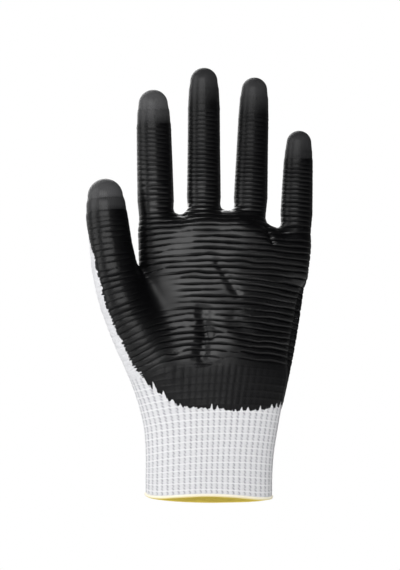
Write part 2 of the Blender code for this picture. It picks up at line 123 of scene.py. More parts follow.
world = bpy.data.worlds.new("studio")
bpy.context.scene.world = world
world.use_nodes = True
room_tree = world.node_tree
room_tree.nodes.clear()
seen = room_tree.nodes.new("ShaderNodeBackground")
seen.inputs["Color"].default_value = WHITE
room = room_tree.nodes.new("ShaderNodeBackground")
room.inputs["Color"].default_value = WHITE
where = room_tree.nodes.new("ShaderNodeTexCoord")
split = room_tree.nodes.new("ShaderNodeSeparateXYZ")
room_tree.links.new(where.outputs["Generated"], split.inputs[0])
strength = room_tree.nodes.new("ShaderNodeMath")
strength.operation = "MULTIPLY"
room_tree.links.new(room_fade(room_tree, split.outputs["Y"], ROOM_DEPTH_FADE, ROOM_FRONT, ROOM_BACKDROP),
                    strength.inputs[0])
room_tree.links.new(room_fade(room_tree, split.outputs["X"], ROOM_SIDE_FADE, 1.0, ROOM_RIGHT_SHARE),
                    strength.inputs[1])
room_tree.links.new(strength.outputs[0], room.inputs["Strength"])
output = room_tree.nodes.new("ShaderNodeOutputWorld")
show_camera(room_tree, seen.outputs[0], room.outputs[0], output.inputs["Surface"])

LIGHT_AIM = Vector((0.0, 0.0, 0.12))


def add_softbox(name, around, up, away, size, radiance):
    """A soft box light turned round and up from straight in front of the glove, pointed at its middle."""
    data = bpy.data.lights.new(name, "AREA")
    data.shape = "RECTANGLE"
    data.size, data.size_y = size
    data.energy = radiance * math.pi * size[0] * size[1]
    light = bpy.data.objects.new(name, data)
    bpy.context.scene.collection.objects.link(light)
    around, up = math.radians(around), math.radians(up)
    offset = Vector((math.sin(around) * math.cos(up), -math.cos(around) * math.cos(up), math.sin(up)))
    light.location = LIGHT_AIM + offset * away
    light.rotation_euler = offset.to_track_quat("Z", "Y").to_euler()
    return light


add_softbox("front", -15.0, 11.0, 1.0, (0.8, 0.5), 4.6)
add_softbox("left", -72.0, 14.0, 0.9, (0.45, 0.9), 3.0)
add_softbox("behind", 200.0, 35.0, 1.1, (0.8, 0.8), 3.0)
# The fill only lifts the white knit: the gloss of the rubber doesn't show it
fill = add_softbox("fill", 38.0, 40.0, 1.0, (1.0, 0.6), 2.8)
fill.visible_glossy = False

FLOOR_DROP = 0.07
FLOOR_BACK = 0.6
FLOOR_HALF = 1.6
PAPER = (0.9, 0.9, 0.9, 1.0)
PAPER_SEEN = (0.86, 0.86, 0.86, 1.0)

floor_mesh = bpy.data.meshes.new("floor")
bm = bmesh.new()
bmesh.ops.create_grid(bm, x_segments=1, y_segments=1, size=FLOOR_HALF)
bm.to_mesh(floor_mesh)
bm.free()
floor = bpy.data.objects.new("floor", floor_mesh)
bpy.context.scene.collection.objects.link(floor)
floor.location = (0.0, FLOOR_BACK, cad_box[0][2] - FLOOR_DROP)
paper = bpy.data.materials.new("white_paper")
paper.use_nodes = True
paper_tree = paper.node_tree
paper_shader = paper_tree.nodes["Principled BSDF"]
paper_shader.inputs["Base Color"].default_value = PAPER
paper_shader.inputs["Roughness"].default_value = 0.9
even = paper_tree.nodes.new("ShaderNodeEmission")
even.inputs["Color"].default_value = PAPER_SEEN
show_camera(paper_tree, even.outputs[0], paper_shader.outputs[0],
            paper_tree.nodes["Material Output"].inputs["Surface"])
floor_mesh.materials.append(paper)


# ---------------------------------------------------------------------------------------------------------
# The knitted liner: white nylon, knitted in one piece from the cuff to the fingertips with a raised rib
# across the hand. Its form is the worn hand, worked out below as a distance field that every layer shares.
# ---------------------------------------------------------------------------------------------------------

# Everything in this file's forms is in millimetres; TO_M turns it into the frame's metres.
TO_M = 0.001

# How far each digit's middle line lies in front of its fold axes, how flat a finger is, and how deep and how
# slim its root is inside the palm
FORM_AXIS_SHIFT = 3.0
FINGER_NAMES = ("index", "middle", "ring", "little")
FINGER_FLATNESS = 0.92
ROOT_REACH = 34.0
ROOT_RADIUS_SHARE = 0.72
TIP_CURL = math.radians(4.0)

# The palm and cuff at heights above the hem: left edge, right edge, half depth in front, half depth behind
HAND_SECTIONS = np.array([
    (-8.0, -35.0, 35.0, 15.0, 15.0),
    (14.0, -34.9, 35.2, 15.0, 15.0),
    (26.0, -34.8, 36.0, 15.0, 15.0),
    (36.0, -35.4, 37.7, 15.2, 15.2),
    (50.0, -37.2, 40.2, 15.9, 15.6),
    (66.0, -38.2, 43.9, 16.4, 15.4),
    (80.0, -38.6, 47.0, 16.3, 15.2),
    (93.0, -38.7, 49.3, 15.8, 15.0),
    (106.0, -38.7, 51.4, 15.2, 14.8),
    (120.0, -38.6, 53.4, 14.8, 14.3),
    (134.0, -38.4, 54.9, 14.4, 13.6),
    (148.0, -38.3, 56.2, 13.6, 13.0),
    (165.0, -38.3, 57.4, 12.6, 12.4),
    (180.0, -38.3, 57.4, 12.0, 12.0),
])
SECTION_POWER = 2.3
WEB_TOP = 163.2
INDEX_WEB_DROP = 2.4
INDEX_WEB_EASE = (-4.0, 2.0)
LITTLE_WEB_TOP = 152.6
WEB_ROUNDING = 11.0
WEB_SOFTNESS = 5.5

# How softly the thumb runs into the palm: height, softness
THUMB_SOFTNESS = ((100.0, 12.0), (138.0, 4.0))

# The thumb's root, from the wrist to its fold: height, centre across, centre in depth, radius
THUMB_ROOT = np.array([
    (58.0, -21.2, 0.5, 12.4),
    (67.0, -26.8, -1.5, 13.2),
    (77.0, -32.6, -3.0, 13.9),
    (88.0, -38.0, -4.4, 14.2),
    (99.0, -42.9, -5.4, 13.9),
    (110.0, -47.3, -6.2, 13.6),
    (120.0, -50.6, -6.8, 13.1),
    (130.0, -53.1, -7.3, 12.6),
])

# How much slimmer and shorter each digit is than its solids, and its narrowing tip: back from the end, share
COAT_THICKNESS = 0.55
TIP_NARROWING = 0.84
TIP_SHAPE = ((12.0, 0.98), (5.5, 0.94))
SLIMMER = {"index": (-0.1, 1.5), "middle": (0.0, 0.9), "ring": (0.3, 1.6), "little": (0.0, 1.0),
           "thumb": (-0.7, 2.4)}
MOVED_ACROSS = {"index": -0.4, "middle": 0.3, "ring": 1.0, "little": 0.4, "thumb": 0.0}


def ramp(value, low, high):
    """0 below one value and 1 above another, eased between them."""
    share = np.clip((value - low) / (high - low), 0.0, 1.0)
    return share * share * (3 - 2 * share)


def smooth_table(table, step=0.5, spread=4.0):
    """The columns of a short table at every half millimetre, eased so that no corner shows."""
    heights = np.arange(table[0, 0], table[-1, 0] + step, step)
    reach = int(3 * spread / step)
    weights = np.exp(-0.5 * (np.arange(-reach, reach + 1) * step / spread) ** 2)
    weights /= weights.sum()
    columns = [heights]
    for column in table.T[1:]:
        line = np.interp(heights, table[:, 0], column)
        line = np.pad(line, reach, mode="edge")
        columns.append(np.convolve(line, weights, mode="valid"))
    return np.array(columns)


hand_table = smooth_table(HAND_SECTIONS)
joints = {joint["name"]: joint for joint in frame["joints"]}


def turned(vector, axis, angle):
    """A vector turned about a unit axis."""
    return (vector * math.cos(angle) + np.cross(axis, vector) * math.sin(angle)
            + axis * (axis @ vector) * (1 - math.cos(angle)))


def read_digit(name, folds, side_sign, pieces, root):
    """A digit's middle line and radii, from where its folds and its solids lie in the frame."""
    places = [np.array(joints[fold]["pos_m"]) / TO_M for fold in folds]
    side = side_sign * np.array(joints[folds[0]]["axis"])
    side /= np.linalg.norm(side)
    alongs = [b - a for a, b in zip(places, places[1:])]
    alongs = [along / np.linalg.norm(along) for along in alongs]
    alongs.append(turned(alongs[-1], side, TIP_CURL))
    moved = np.array([MOVED_ACROSS[name], 0.0, 0.0])
    points = [place - np.cross(side, along) * FORM_AXIS_SHIFT + moved for place, along in zip(places, alongs)]
    boxes = [np.array(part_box(f"{name}_{piece}_coating")) / TO_M for piece in pieces]
    slimmer, shorter = SLIMMER[name]
    widths = [high[0] - low[0] for low, high in boxes]
    radii = [width / 2 - COAT_THICKNESS - slimmer for width in widths]
    top = boxes[-1][1][2] - shorter
    tip_radius = radii[-1] * TIP_NARROWING
    end = points[-1] + alongs[-1] * ((top - points[-1][2]) / alongs[-1][2] - tip_radius)
    shoulders = [end - alongs[-1] * back for back, _ in TIP_SHAPE]
    shoulder_radii = [radii[-1] * share for _, share in TIP_SHAPE]
    line = np.array([*root[0], *points, *shoulders, end])
    radii = np.array([*root[1], *radii, *shoulder_radii, tip_radius])
    return {"name": name, "line": line, "radii": radii, "side": side, "folds": points, "alongs": alongs,
            "fold_row": len(root[0])}


digits = []
for name in FINGER_NAMES:
    folds = [f"{name}_knuckle", f"{name}_middle_joint", f"{name}_end_joint"]
    finger = read_digit(name, folds, 1.0, ("proximal", "middle", "distal"), ([], []))
    straight = turned(finger["alongs"][0], finger["side"], -TIP_CURL)
    foot = finger["line"][0] - straight * ROOT_REACH
    finger["line"] = np.vstack([foot, finger["line"]])
    finger["radii"] = np.append(finger["radii"][0] * ROOT_RADIUS_SHARE, finger["radii"])
    finger["fold_row"] = 1
    digits.append(finger)
thumb_roots = ([row[[1, 2, 0]] for row in THUMB_ROOT], list(THUMB_ROOT[:, 3]))
thumb_folds = ["thumb_base_joint", "thumb_end_joint"]
thumb = read_digit("thumb", thumb_folds, -1.0, ("proximal", "distal"), thumb_roots)
digits.append(thumb)
for digit in digits:
    steps = np.linalg.norm(np.diff(digit["line"], axis=0), axis=1)
    lengths = np.append(0.0, np.cumsum(steps))
    digit["lengths"] = lengths - lengths[digit["fold_row"]]


def digit_field(digit, points):
    """(distance, place along, nearest point on the middle line) for points near a digit."""
    best = np.full(len(points), 1e9)
    along = np.zeros(len(points))
    centre = np.zeros_like(points)
    line, radii, lengths = digit["line"], digit["radii"], digit["lengths"]
    for a, b, ra, rb, la, lb in zip(line, line[1:], radii, radii[1:], lengths, lengths[1:]):
        span = b - a
        share = np.clip((points - a) @ span / (span @ span), 0.0, 1.0)
        near = a + share[:, None] * span
        away = points - near
        away[:, 1] /= FINGER_FLATNESS
        distance = np.linalg.norm(away, axis=1) - (ra + (rb - ra) * share)
        closer = distance < best
        best = np.where(closer, distance, best)
        along = np.where(closer, la + (lb - la) * share, along)
        centre[closer] = near[closer]
    return best, along, centre


def web_height(x):
    """The top of the palm between the fingers, lower at the index and the little finger's webs."""
    ring_edge = digits[2]["line"][1][0] - digits[2]["radii"][1]
    little_edge = digits[3]["line"][1][0] - digits[3]["radii"][1]
    middle_edge = digits[1]["line"][1][0] - digits[1]["radii"][1]
    to_little = (LITTLE_WEB_TOP - WEB_TOP) * ramp(x, ring_edge, little_edge)
    to_index = 1 - ramp(x - middle_edge, *INDEX_WEB_EASE)
    return WEB_TOP + to_little - INDEX_WEB_DROP * to_index


def smooth_join(a, b, softness):
    """The smaller of two distances, with the valley between them filled."""
    near = np.maximum(softness - np.abs(a - b), 0.0) / softness
    return np.minimum(a, b) - near * near * softness / 4


def hand_section(z):
    """The middle, the half width and the two half depths of the palm or cuff at each height."""
    left, right, front, back = (np.interp(z, hand_table[0], column) for column in hand_table[1:])
    return (left + right) / 2, (right - left) / 2, front, back


def palm_field(points):
    """The distance to the palm and cuff: a rounded oval at each height, rounded over at the webs."""
    x, y, z = points.T
    middle, half_width, front, back = hand_section(z)
    depth = np.where(y < 0, front, back)
    over = np.clip((z - web_height(x) + WEB_ROUNDING) / WEB_ROUNDING, 0.0, 1.0)
    across = np.abs(x - middle) / half_width
    deep = np.abs(y) / depth
    ring = np.maximum((across ** SECTION_POWER + deep ** SECTION_POWER), 1e-6) ** (1 / SECTION_POWER)
    slope_x = (across / ring) ** (SECTION_POWER - 1) / half_width
    slope_y = (deep / ring) ** (SECTION_POWER - 1) / depth
    side = (ring - 1) / np.sqrt(slope_x ** 2 + slope_y ** 2)
    side = np.maximum(side, -depth)
    top = z - web_height(x)
    inward = side + WEB_ROUNDING
    upward = top + WEB_ROUNDING
    corner = np.sqrt(np.maximum(inward, 0) ** 2 + np.maximum(upward, 0) ** 2) - WEB_ROUNDING
    within = np.minimum(corner, np.maximum(side, top))
    return np.where(over > 0, np.where(corner < 0, within, corner), side)


# How far round a digit its own field is worked out
NEAR = 12.0


def hand_field(points):
    """The distance to the whole worn hand, negative inside."""
    distance = palm_field(points)
    for digit in digits:
        low = digit["line"].min(axis=0) - digit["radii"].max() - NEAR
        high = digit["line"].max(axis=0) + digit["radii"].max() + NEAR
        close = np.all((points > low) & (points < high), axis=1)
        softness = np.interp(points[close][:, 2], *zip(*THUMB_SOFTNESS)) if digit is thumb else WEB_SOFTNESS
        near, _, _ = digit_field(digit, points[close])
        distance[close] = smooth_join(distance[close], near, softness)
    return distance


def field_slope(points, reach=0.15):
    """The outward direction of the hand's surface near each point."""
    slope = np.empty_like(points)
    for k in range(3):
        step = np.zeros(3)
        step[k] = reach
        slope[:, k] = hand_field(points + step) - hand_field(points - step)
    return slope / (2 * reach)


# The skin is found on a grid that is finer up the hand than across it, because the ribs run across
GRID = np.array([0.75, 0.8, 0.38])
GRID_LOW = np.array([-76.0, -28.0, 0.6])
GRID_HIGH = np.array([66.0, 20.0, 249.0])
BLOCK = 4
BLOCK_MARGIN = 1.5


def cells_round(edge, axis, cells):
    """The four cells that meet at each grid edge, in turn, with whether each lies in the grid."""
    first, second = [n for n in range(3) if n != axis]
    for back_first, back_second in ((0, 0), (1, 0), (1, 1), (0, 1)):
        cell = list(edge)
        cell[first] = cell[first] - back_first
        cell[second] = cell[second] - back_second
        yield cell, np.all([(place >= 0) & (place < n) for place, n in zip(cell, cells)], axis=0)


def skin_of_field():
    """(points, faces) of the hand's surface: one point in each grid cell that the surface crosses."""
    axes = [np.arange(low, high, step) for low, high, step in zip(GRID_LOW, GRID_HIGH, GRID)]
    shape = tuple(len(axis) for axis in axes)
    middles = [axis[::BLOCK] + (BLOCK - 1) / 2 * step for axis, step in zip(axes, GRID)]
    blocks = np.stack(np.meshgrid(*middles, indexing="ij"), axis=-1)
    rough = hand_field(blocks.reshape(-1, 3)).reshape(blocks.shape[:3]).astype(np.float32)
    for axis in range(3):
        rough = np.repeat(rough, BLOCK, axis=axis)
    field = rough[:shape[0], :shape[1], :shape[2]].copy()
    i, j, k = np.nonzero(np.abs(field) < BLOCK_MARGIN * np.linalg.norm(GRID) * BLOCK / 2)
    field[i, j, k] = hand_field(np.column_stack([axes[0][i], axes[1][j], axes[2][k]]))
    inside = field < 0
    cells = tuple(n - 1 for n in shape)
    total = np.zeros(cells + (3,), np.float32)
    count = np.zeros(cells, np.int16)
    for axis in range(3):
        edge = np.nonzero(np.diff(inside, axis=axis))
        a = field[edge]
        b = field[tuple(place + (n == axis) for n, place in enumerate(edge))]
        point = np.column_stack([line[place] for line, place in zip(axes, edge)])
        point[:, axis] += GRID[axis] * a / (a - b)
        for cell, fits in cells_round(edge, axis, cells):
            at = tuple(place[fits] for place in cell)
            np.add.at(total, at, point[fits])
            np.add.at(count, at, 1)
    used = count > 0
    number = np.full(used.shape, -1, np.int64)
    number[used] = np.arange(used.sum())
    points = (total[used] / count[used][:, None]).astype(float)
    faces = []
    for axis in range(3):
        edge = np.nonzero(np.diff(inside, axis=axis))
        quad = np.column_stack([
            np.where(fits, number[tuple(np.clip(place, 0, n - 1) for place, n in zip(cell, cells))], -1)
            for cell, fits in cells_round(edge, axis, cells)])
        flip = inside[edge] if axis == 1 else ~inside[edge]
        quad[flip] = quad[flip][:, ::-1]
        faces.append(quad[(quad >= 0).all(axis=1)])
    return points, np.vstack(faces)


def settle(points, faces):
    """Evens out the points along the surface, then puts them back on it."""
    for _ in range(2):
        total = np.zeros_like(points)
        count = np.zeros(len(points))
        for a in range(4):
            np.add.at(total, faces[:, a], points[faces[:, (a + 1) % 4]])
            np.add.at(total, faces[:, a], points[faces[:, (a + 3) % 4]])
            np.add.at(count, faces[:, a], 2)
        middle = total / np.maximum(count, 1)[:, None]
        at_hem = points[:, 2] < GRID_LOW[2] + 1.2 * GRID[2]
        middle[at_hem] = points[at_hem]
        points = points + 0.5 * (middle - points)
        for _ in range(2):
            slope = field_slope(points)
            size = np.maximum((slope ** 2).sum(axis=1), 0.05)
            points = points - slope * (hand_field(points) / size)[:, None]
    slope = field_slope(points)
    return points, slope / np.linalg.norm(slope, axis=1)[:, None]


skin_points, skin_faces = skin_of_field()
skin_points, skin_outward = settle(skin_points, skin_faces)

# Where each point lies in the knit: its course, counted in millimetres up the glove from the hem, and its
# wale, in millimetres round the tube. Near a finger's root both pass smoothly from the palm to the finger.
GRID_KNIT_TOP = 72.0
PALM_ROUND = 174.0
DIGIT_ROUND = 60.0
FINGER_BLEND = 2.2
THUMB_BLEND = 15.0
THUMB_KNIT_START = (62.0, 84.0)
MEAN_HALF_WIDTH = 42.0
MEAN_HALF_DEPTH = 15.5


class Ripple:
    """Smooth random unevenness of a given size, the same on every run."""

    def __init__(self, seed, size):
        self.values = np.random.RandomState(seed).uniform(-1.0, 1.0, (32, 32, 32))
        self.size = np.array(size, float)

    def at(self, points):
        cell = points / self.size
        low = np.floor(cell).astype(int)
        share = cell - low
        share = share * share * (3 - 2 * share)
        total = np.zeros(len(points))
        for corner in np.ndindex(2, 2, 2):
            weight = np.ones(len(points))
            for n in range(3):
                weight *= share[:, n] if corner[n] else 1 - share[:, n]
            index = (low + corner) % 32
            total += weight * self.values[index[:, 0], index[:, 1], index[:, 2]]
        return total


def digit_turn(digit, points, centre, along):
    """How far round a digit each point is, from straight on its palm side, in radians."""
    starts = np.append(digit["lengths"][digit["fold_row"]:-1], np.inf)
    turn = np.zeros(len(points))
    directions = [digit["alongs"][0]] + digit["alongs"]
    marks = [-np.inf, *starts[:len(digit["alongs"])], np.inf]
    for direction, low, high in zip(directions, marks, marks[1:]):
        here = (along >= low) & (along < high)
        palmar = np.cross(digit["side"], direction)
        away = points[here] - centre[here]
        turn[here] = np.arctan2(away @ digit["side"], away @ palmar)
    return turn


def oval_share(x, y, z):
    """The share of the way round the palm or cuff from the middle of the back, as a knitter counts wales."""
    turns = np.linspace(-np.pi, np.pi, 721)
    table_x, table_y = MEAN_HALF_WIDTH * np.sin(turns), -MEAN_HALF_DEPTH * np.cos(turns)
    steps = np.hypot(np.diff(table_x), np.diff(table_y))
    lengths = np.append(0.0, np.cumsum(steps)) / steps.sum()
    middle, half_width, front, back = hand_section(z)
    depth = np.where(y < 0, front, back)
    return np.interp(np.arctan2((x - middle) / half_width, -y / depth), turns, lengths)


def knit_places(points):
    """The course of each point, and for the palm and each digit its share, wale, turn and place along."""
    distances = [palm_field(points)]
    courses = [points[:, 2]]
    wales = [oval_share(*points.T) * PALM_ROUND]
    turns = [np.zeros(len(points))]
    alongs = [points[:, 2]]
    for digit in digits:
        distance, along, centre = digit_field(digit, points)
        turn = digit_turn(digit, points, centre, along)
        first = digit["line"][digit["fold_row"]]
        if digit is thumb:
            courses.append(along - digit["lengths"][0] + digit["line"][0][2])
        else:
            beyond = (points - first) @ digit["alongs"][0]
            courses.append(first[2] + np.where(along > 0, along, beyond))
        distances.append(distance)
        wales.append((turn / (2 * np.pi) + 0.5) * DIGIT_ROUND)
        turns.append(turn)
        alongs.append(along)
    distances = np.array(distances)
    spread = np.array([FINGER_BLEND] * len(digits) + [THUMB_BLEND])[:, None]
    beyond = distances - distances.min(axis=0)
    shares = np.exp(-beyond / spread)
    shares[beyond > 5 * spread] = 0.0
    shares[-1] *= ramp(points[:, 2], *THUMB_KNIT_START)
    shares /= shares.sum(axis=0)
    course = (shares * np.array(courses)).sum(axis=0)
    return course, shares, np.array(wales), np.array(turns), np.array(alongs), distances


# The raised ribs: they narrow from the palm to the fingers, and the fingertips are almost smooth. The pairs
# are the courses between which one thing gives way to another.
PITCH_NARROWS = (150.0, 168.0)
WANDER_FADES = (150.0, 170.0)
RIB_LOWERS = (148.0, 172.0)
RIB_WEARS = (182.0, 205.0)
THUMB_RIB_LOSS = 0.45
FINGER_RIB_LOSS = 0.5
SIDE_RIB_LOSS = (0.6, 0.85)
RIB_ROUNDNESS = 0.1
RIB_MIDDLE = 0.65
PALM_RIB_PITCH = 3.5
FINGER_RIB_PITCH = 2.45
PALM_RIB_HEIGHT = 0.6
FINGER_RIB_HEIGHT = 0.36
TIP_RIB_HEIGHT = 0.03
PLAIN_TIP = 23.0
RIB_WANDER = 0.75
VALLEY_SHARE = 0.10
VALLEY_WIDTHS = (0.15, 2.2)
RIB_BOW = 2.2
SMOOTH_PATCH = ((-27.0, 113.0), (13.0, 15.0))

# Other places where the ribs are low: centre across and up, reach, and the share lost
LOW_RIBS = ((*SMOOTH_PATCH, 1.0), ((9.0, 160.0), (9.0, 4.0), 0.6), ((-15.0, 141.0), (8.0, 13.0), 0.75),
            ((-40.0, 122.0), (10.0, 10.0), 0.5))

# The wrist's grid: the size of a cell, and how far its courses bow and slope across the front
GRID_WALE = PALM_ROUND / 54
GRID_COURSE = 4.0
GRID_BOW = 2.1
GRID_SKEW = 1.5
COLUMN_HEIGHT = 0.22
COURSE_HEIGHT = 0.16


def hill(points, place, reach):
    """1 at a place seen from the palm side, falling smoothly to 0 beyond its reach."""
    off = (((points[:, [0, 2]] - place) / reach) ** 2).sum(axis=1)
    return np.exp(-off ** 2) * (points[:, 1] < 4.0)


COURSE_STEP = 0.25
course_steps = np.arange(0.0, 260.0, COURSE_STEP)
pitch_steps = PALM_RIB_PITCH + (FINGER_RIB_PITCH - PALM_RIB_PITCH) * ramp(course_steps, *PITCH_NARROWS)
rib_count = np.cumsum(COURSE_STEP / pitch_steps)

course, shares, wales, turns, alongs, distances = knit_places(skin_points)
skin_base = skin_points
wander = Ripple(3, (26.0, 30.0, 9.0)).at(skin_base) + 0.6 * Ripple(4, (9.0, 14.0, 6.0)).at(skin_base)
bow = RIB_BOW * np.minimum((skin_base[:, 0] / 50.0) ** 2, 1.3) * shares[0]
wandering = RIB_WANDER * wander * (1 - 0.75 * ramp(course, *WANDER_FADES))
rib_phase = np.interp(course + bow + wandering, course_steps, rib_count)
from_valley = np.abs(rib_phase - np.round(rib_phase))
rounded = np.sin(np.pi * from_valley)
valley_width = 0.95 + 1.0 * Ripple(9, (12.0, 20.0, 3.2)).at(skin_base)
valley_width += 0.45 * Ripple(10, (4.0, 20.0, 3.0)).at(skin_base)
valley_width = np.clip(valley_width, *VALLEY_WIDTHS)
flat_topped = 1 - np.exp(-(from_valley / (VALLEY_SHARE * valley_width)) ** 2)
flatness = (1 - RIB_ROUNDNESS) * (1 - 0.8 * ramp(course, *PITCH_NARROWS))
rib = flat_topped * flatness + rounded * (1 - flatness) - RIB_MIDDLE
to_tip = np.full(len(skin_base), 1e3)
for digit, along, share in zip(digits, alongs[1:], shares[1:]):
    length = digit["lengths"][-1] + digit["radii"][-1]
    to_tip = np.where(share > 0.5, np.minimum(to_tip, length - along), to_tip)
rib_height = PALM_RIB_HEIGHT + (FINGER_RIB_HEIGHT - PALM_RIB_HEIGHT) * ramp(course, *RIB_LOWERS)
rib_height = TIP_RIB_HEIGHT + (rib_height - TIP_RIB_HEIGHT) * ramp(to_tip, PLAIN_TIP - 5.0, PLAIN_TIP + 4.0)
rib_height *= ramp(course, GRID_KNIT_TOP, GRID_KNIT_TOP + 6.0)
rib_height *= 1 + 0.5 * Ripple(7, (13.0, 20.0, 7.0)).at(skin_base)
rib_height *= 1 - THUMB_RIB_LOSS * shares[5]
rib_height *= 1 - FINGER_RIB_LOSS * ramp(course, *RIB_WEARS)
side_loss = SIDE_RIB_LOSS[0] + (SIDE_RIB_LOSS[1] - SIDE_RIB_LOSS[0]) * ramp(course, *WANDER_FADES)
rib_height *= 1 - side_loss * (1 - ramp(np.abs(skin_outward[:, 1]), 0.15, 0.8))
for place, reach, loss in LOW_RIBS:
    rib_height *= 1 - loss * hill(skin_base, place, reach)

# The wrist is a plain grid knit: upright columns, and in each cell a course with elastic yarn that stands up
side_share = np.clip(skin_base[:, 0] / 38.0, -1.0, 1.0)
grid_bow = GRID_BOW * np.where(skin_base[:, 1] < 0, side_share ** 2, 1.0)
grid_drop = grid_bow - GRID_SKEW * side_share
grid_drop *= ramp(course, 2.0, 22.0)
grid_course = (course + grid_drop) / GRID_COURSE
grid_wale = wales[0] / GRID_WALE
column = np.abs(np.cos(np.pi * grid_wale)) ** 0.7
course_line = np.exp(-((grid_course - np.round(grid_course)) / 0.12) ** 2)
grid_share = 1 - ramp(course, GRID_KNIT_TOP - 2.0, GRID_KNIT_TOP + 3.0)
grid_height = (COLUMN_HEIGHT * column + COURSE_HEIGHT * course_line) * grid_share

# Creases of wear: from, to, half width and depth, all on the palm side
CREASES = (
    ((-3.0, 105.0), (-1.5, 92.0), 3.6, 1.2),
    ((-2.0, 94.0), (-4.0, 78.0), 3.8, 1.9),
    ((5.0, 132.0), (16.0, 114.0), 2.2, 0.55),
    ((32.5, 152.5), (35.8, 143.5), 1.4, 1.1),
    ((-16.5, 161.0), (-10.0, 156.5), 1.6, 0.6),
    ((14.0, 100.0), (20.0, 92.0), 4.0, 0.5),
)
CREASE_ROUGHNESS = 0.25

crease = np.zeros(len(skin_base))
for (x0, z0), (x1, z1), half_width, depth in CREASES:
    start, span = np.array([x0, z0]), np.array([x1 - x0, z1 - z0])
    flat = skin_base[:, [0, 2]]
    share = (flat - start) @ span / (span @ span)
    nearest = start + np.clip(share, 0.0, 1.0)[:, None] * span
    off = np.linalg.norm(flat - nearest, axis=1) / half_width
    off += CREASE_ROUGHNESS * Ripple(21, (3.0, 9.0, 3.0)).at(skin_base)
    crease += depth * np.exp(-off ** 2) * ramp(-skin_base[:, 1], 2.0, 8.0)

# A thin raised line crosses each finger under its smooth cap: digit, course
CAP_LINES = ((0, 208.5), (1, 221.5), (2, 216.0), (2, 211.5), (3, 186.5), (4, 163.0))
CAP_LINE_HEIGHT = 0.10
CAP_LINE_HALF = 0.45

cap_line = np.zeros(len(skin_base))
for row, height in CAP_LINES:
    near = np.abs(course - height + 0.4 * wander)
    cap_line += CAP_LINE_HEIGHT * np.exp(-(near / CAP_LINE_HALF) ** 2) * (shares[row + 1] > 0.6)

# The hem draws up at the two sides of the cuff, and waves a little between them: turn round, lift
HEM_WAVE = np.array([
    (-180.0, -0.4), (-150.0, 0.2), (-118.0, 1.6), (-90.0, 3.8), (-66.0, 1.5), (-50.0, 0.4), (-25.0, 1.0),
    (0.0, 1.7), (25.0, 0.9), (50.0, -0.3), (72.0, 0.4), (90.0, 2.0), (112.0, 0.9), (140.0, 0.0),
    (180.0, -0.4),
])
HEM_WAVE_TOP = 22.0
HEM_WAVE_BLUR = (-9.0, -4.5, 0.0, 4.5, 9.0)
CUFF_HALF_WIDTH = 35.0
CUFF_HALF_DEPTH = 15.0


def hem_lift(points):
    """How far the cuff's edge stands above the level of the hem round the cuff, fading out up the cuff."""
    turn = np.degrees(np.arctan2(points[:, 0] / CUFF_HALF_WIDTH, -points[:, 1] / CUFF_HALF_DEPTH))
    wave = np.zeros(len(points))
    for shift in HEM_WAVE_BLUR:
        wave += np.interp((turn + shift + 180.0) % 360.0 - 180.0, *HEM_WAVE.T) / len(HEM_WAVE_BLUR)
    return wave * (1 - ramp(points[:, 2], 0.0, HEM_WAVE_TOP))


# Broad unevenness of the worn palm, whose right side slopes back towards the little finger's edge
PALM_UNEVENNESS = 0.32
PALM_SLOPE = 3.2

palm_front = shares[0] * (skin_base[:, 1] < 0) * ramp(course, 62.0, 84.0) * (1 - ramp(course, 148.0, 162.0))
crease += palm_front * PALM_UNEVENNESS * Ripple(31, (15.0, 40.0, 8.0)).at(skin_base)
slope_share = ramp(skin_base[:, 0], 4.0, 44.0) ** 2 * (1 - ramp(skin_base[:, 2], 100.0, 140.0))
crease += palm_front * PALM_SLOPE * slope_share

skin_points = skin_base + skin_outward * (rib * rib_height + grid_height + cap_line - crease)[:, None]
skin_points[:, 2] += hem_lift(skin_base)


def point_normals(points, faces):
    """The direction each point of a skin faces, for shading that runs on across the edge of a piece."""
    corners = points[faces]
    across = np.cross(corners[:, 2] - corners[:, 0], corners[:, 3] - corners[:, 1])
    total = np.zeros_like(points)
    for corner in range(4):
        np.add.at(total, faces[:, corner], across)
    return total / np.maximum(np.linalg.norm(total, axis=1), 1e-9)[:, None]


skin_normals = point_normals(skin_points, skin_faces)

# Which piece each face belongs to. A finger's pieces part half way between its folds.
FOLD_REACH = 8.5
ROOT_FOLD_REACH = 6.0
PIECE_NAMES = {3: ("root", "middle", "tip"), 2: ("root", "tip")}
BODY_NAMES = {3: ("proximal", "middle", "distal"), 2: ("proximal", "distal")}
CUFF_PIECE_TOP = 50.0

owner = shares[:, skin_faces].mean(axis=2).argmax(axis=0)
face_distance = distances[1:, skin_faces].mean(axis=2)
nearest_digit = face_distance.argmin(axis=0)
face_along = alongs[1:][:, skin_faces].mean(axis=2)
face_piece = np.zeros(len(skin_faces), int)
pieces = [("palm", None, 0)]
for n, digit in enumerate(digits):
    count = len(digit["folds"])
    marks = digit["lengths"][digit["fold_row"]:]
    here = (nearest_digit == n) & (face_along[n] > -ROOT_FOLD_REACH) & (face_distance[n] < 3.0)
    for k in range(count):
        pieces.append((digit["name"], PIECE_NAMES[count][k], k))
        from_mark = (marks[k - 1] + marks[k]) / 2 if k else -np.inf
        face_piece[here & (face_along[n] > from_mark)] = len(pieces) - 1
pieces.append(("cuff", None, 0))
face_piece[skin_base[skin_faces].mean(axis=1)[:, 2] < CUFF_PIECE_TOP] = len(pieces) - 1


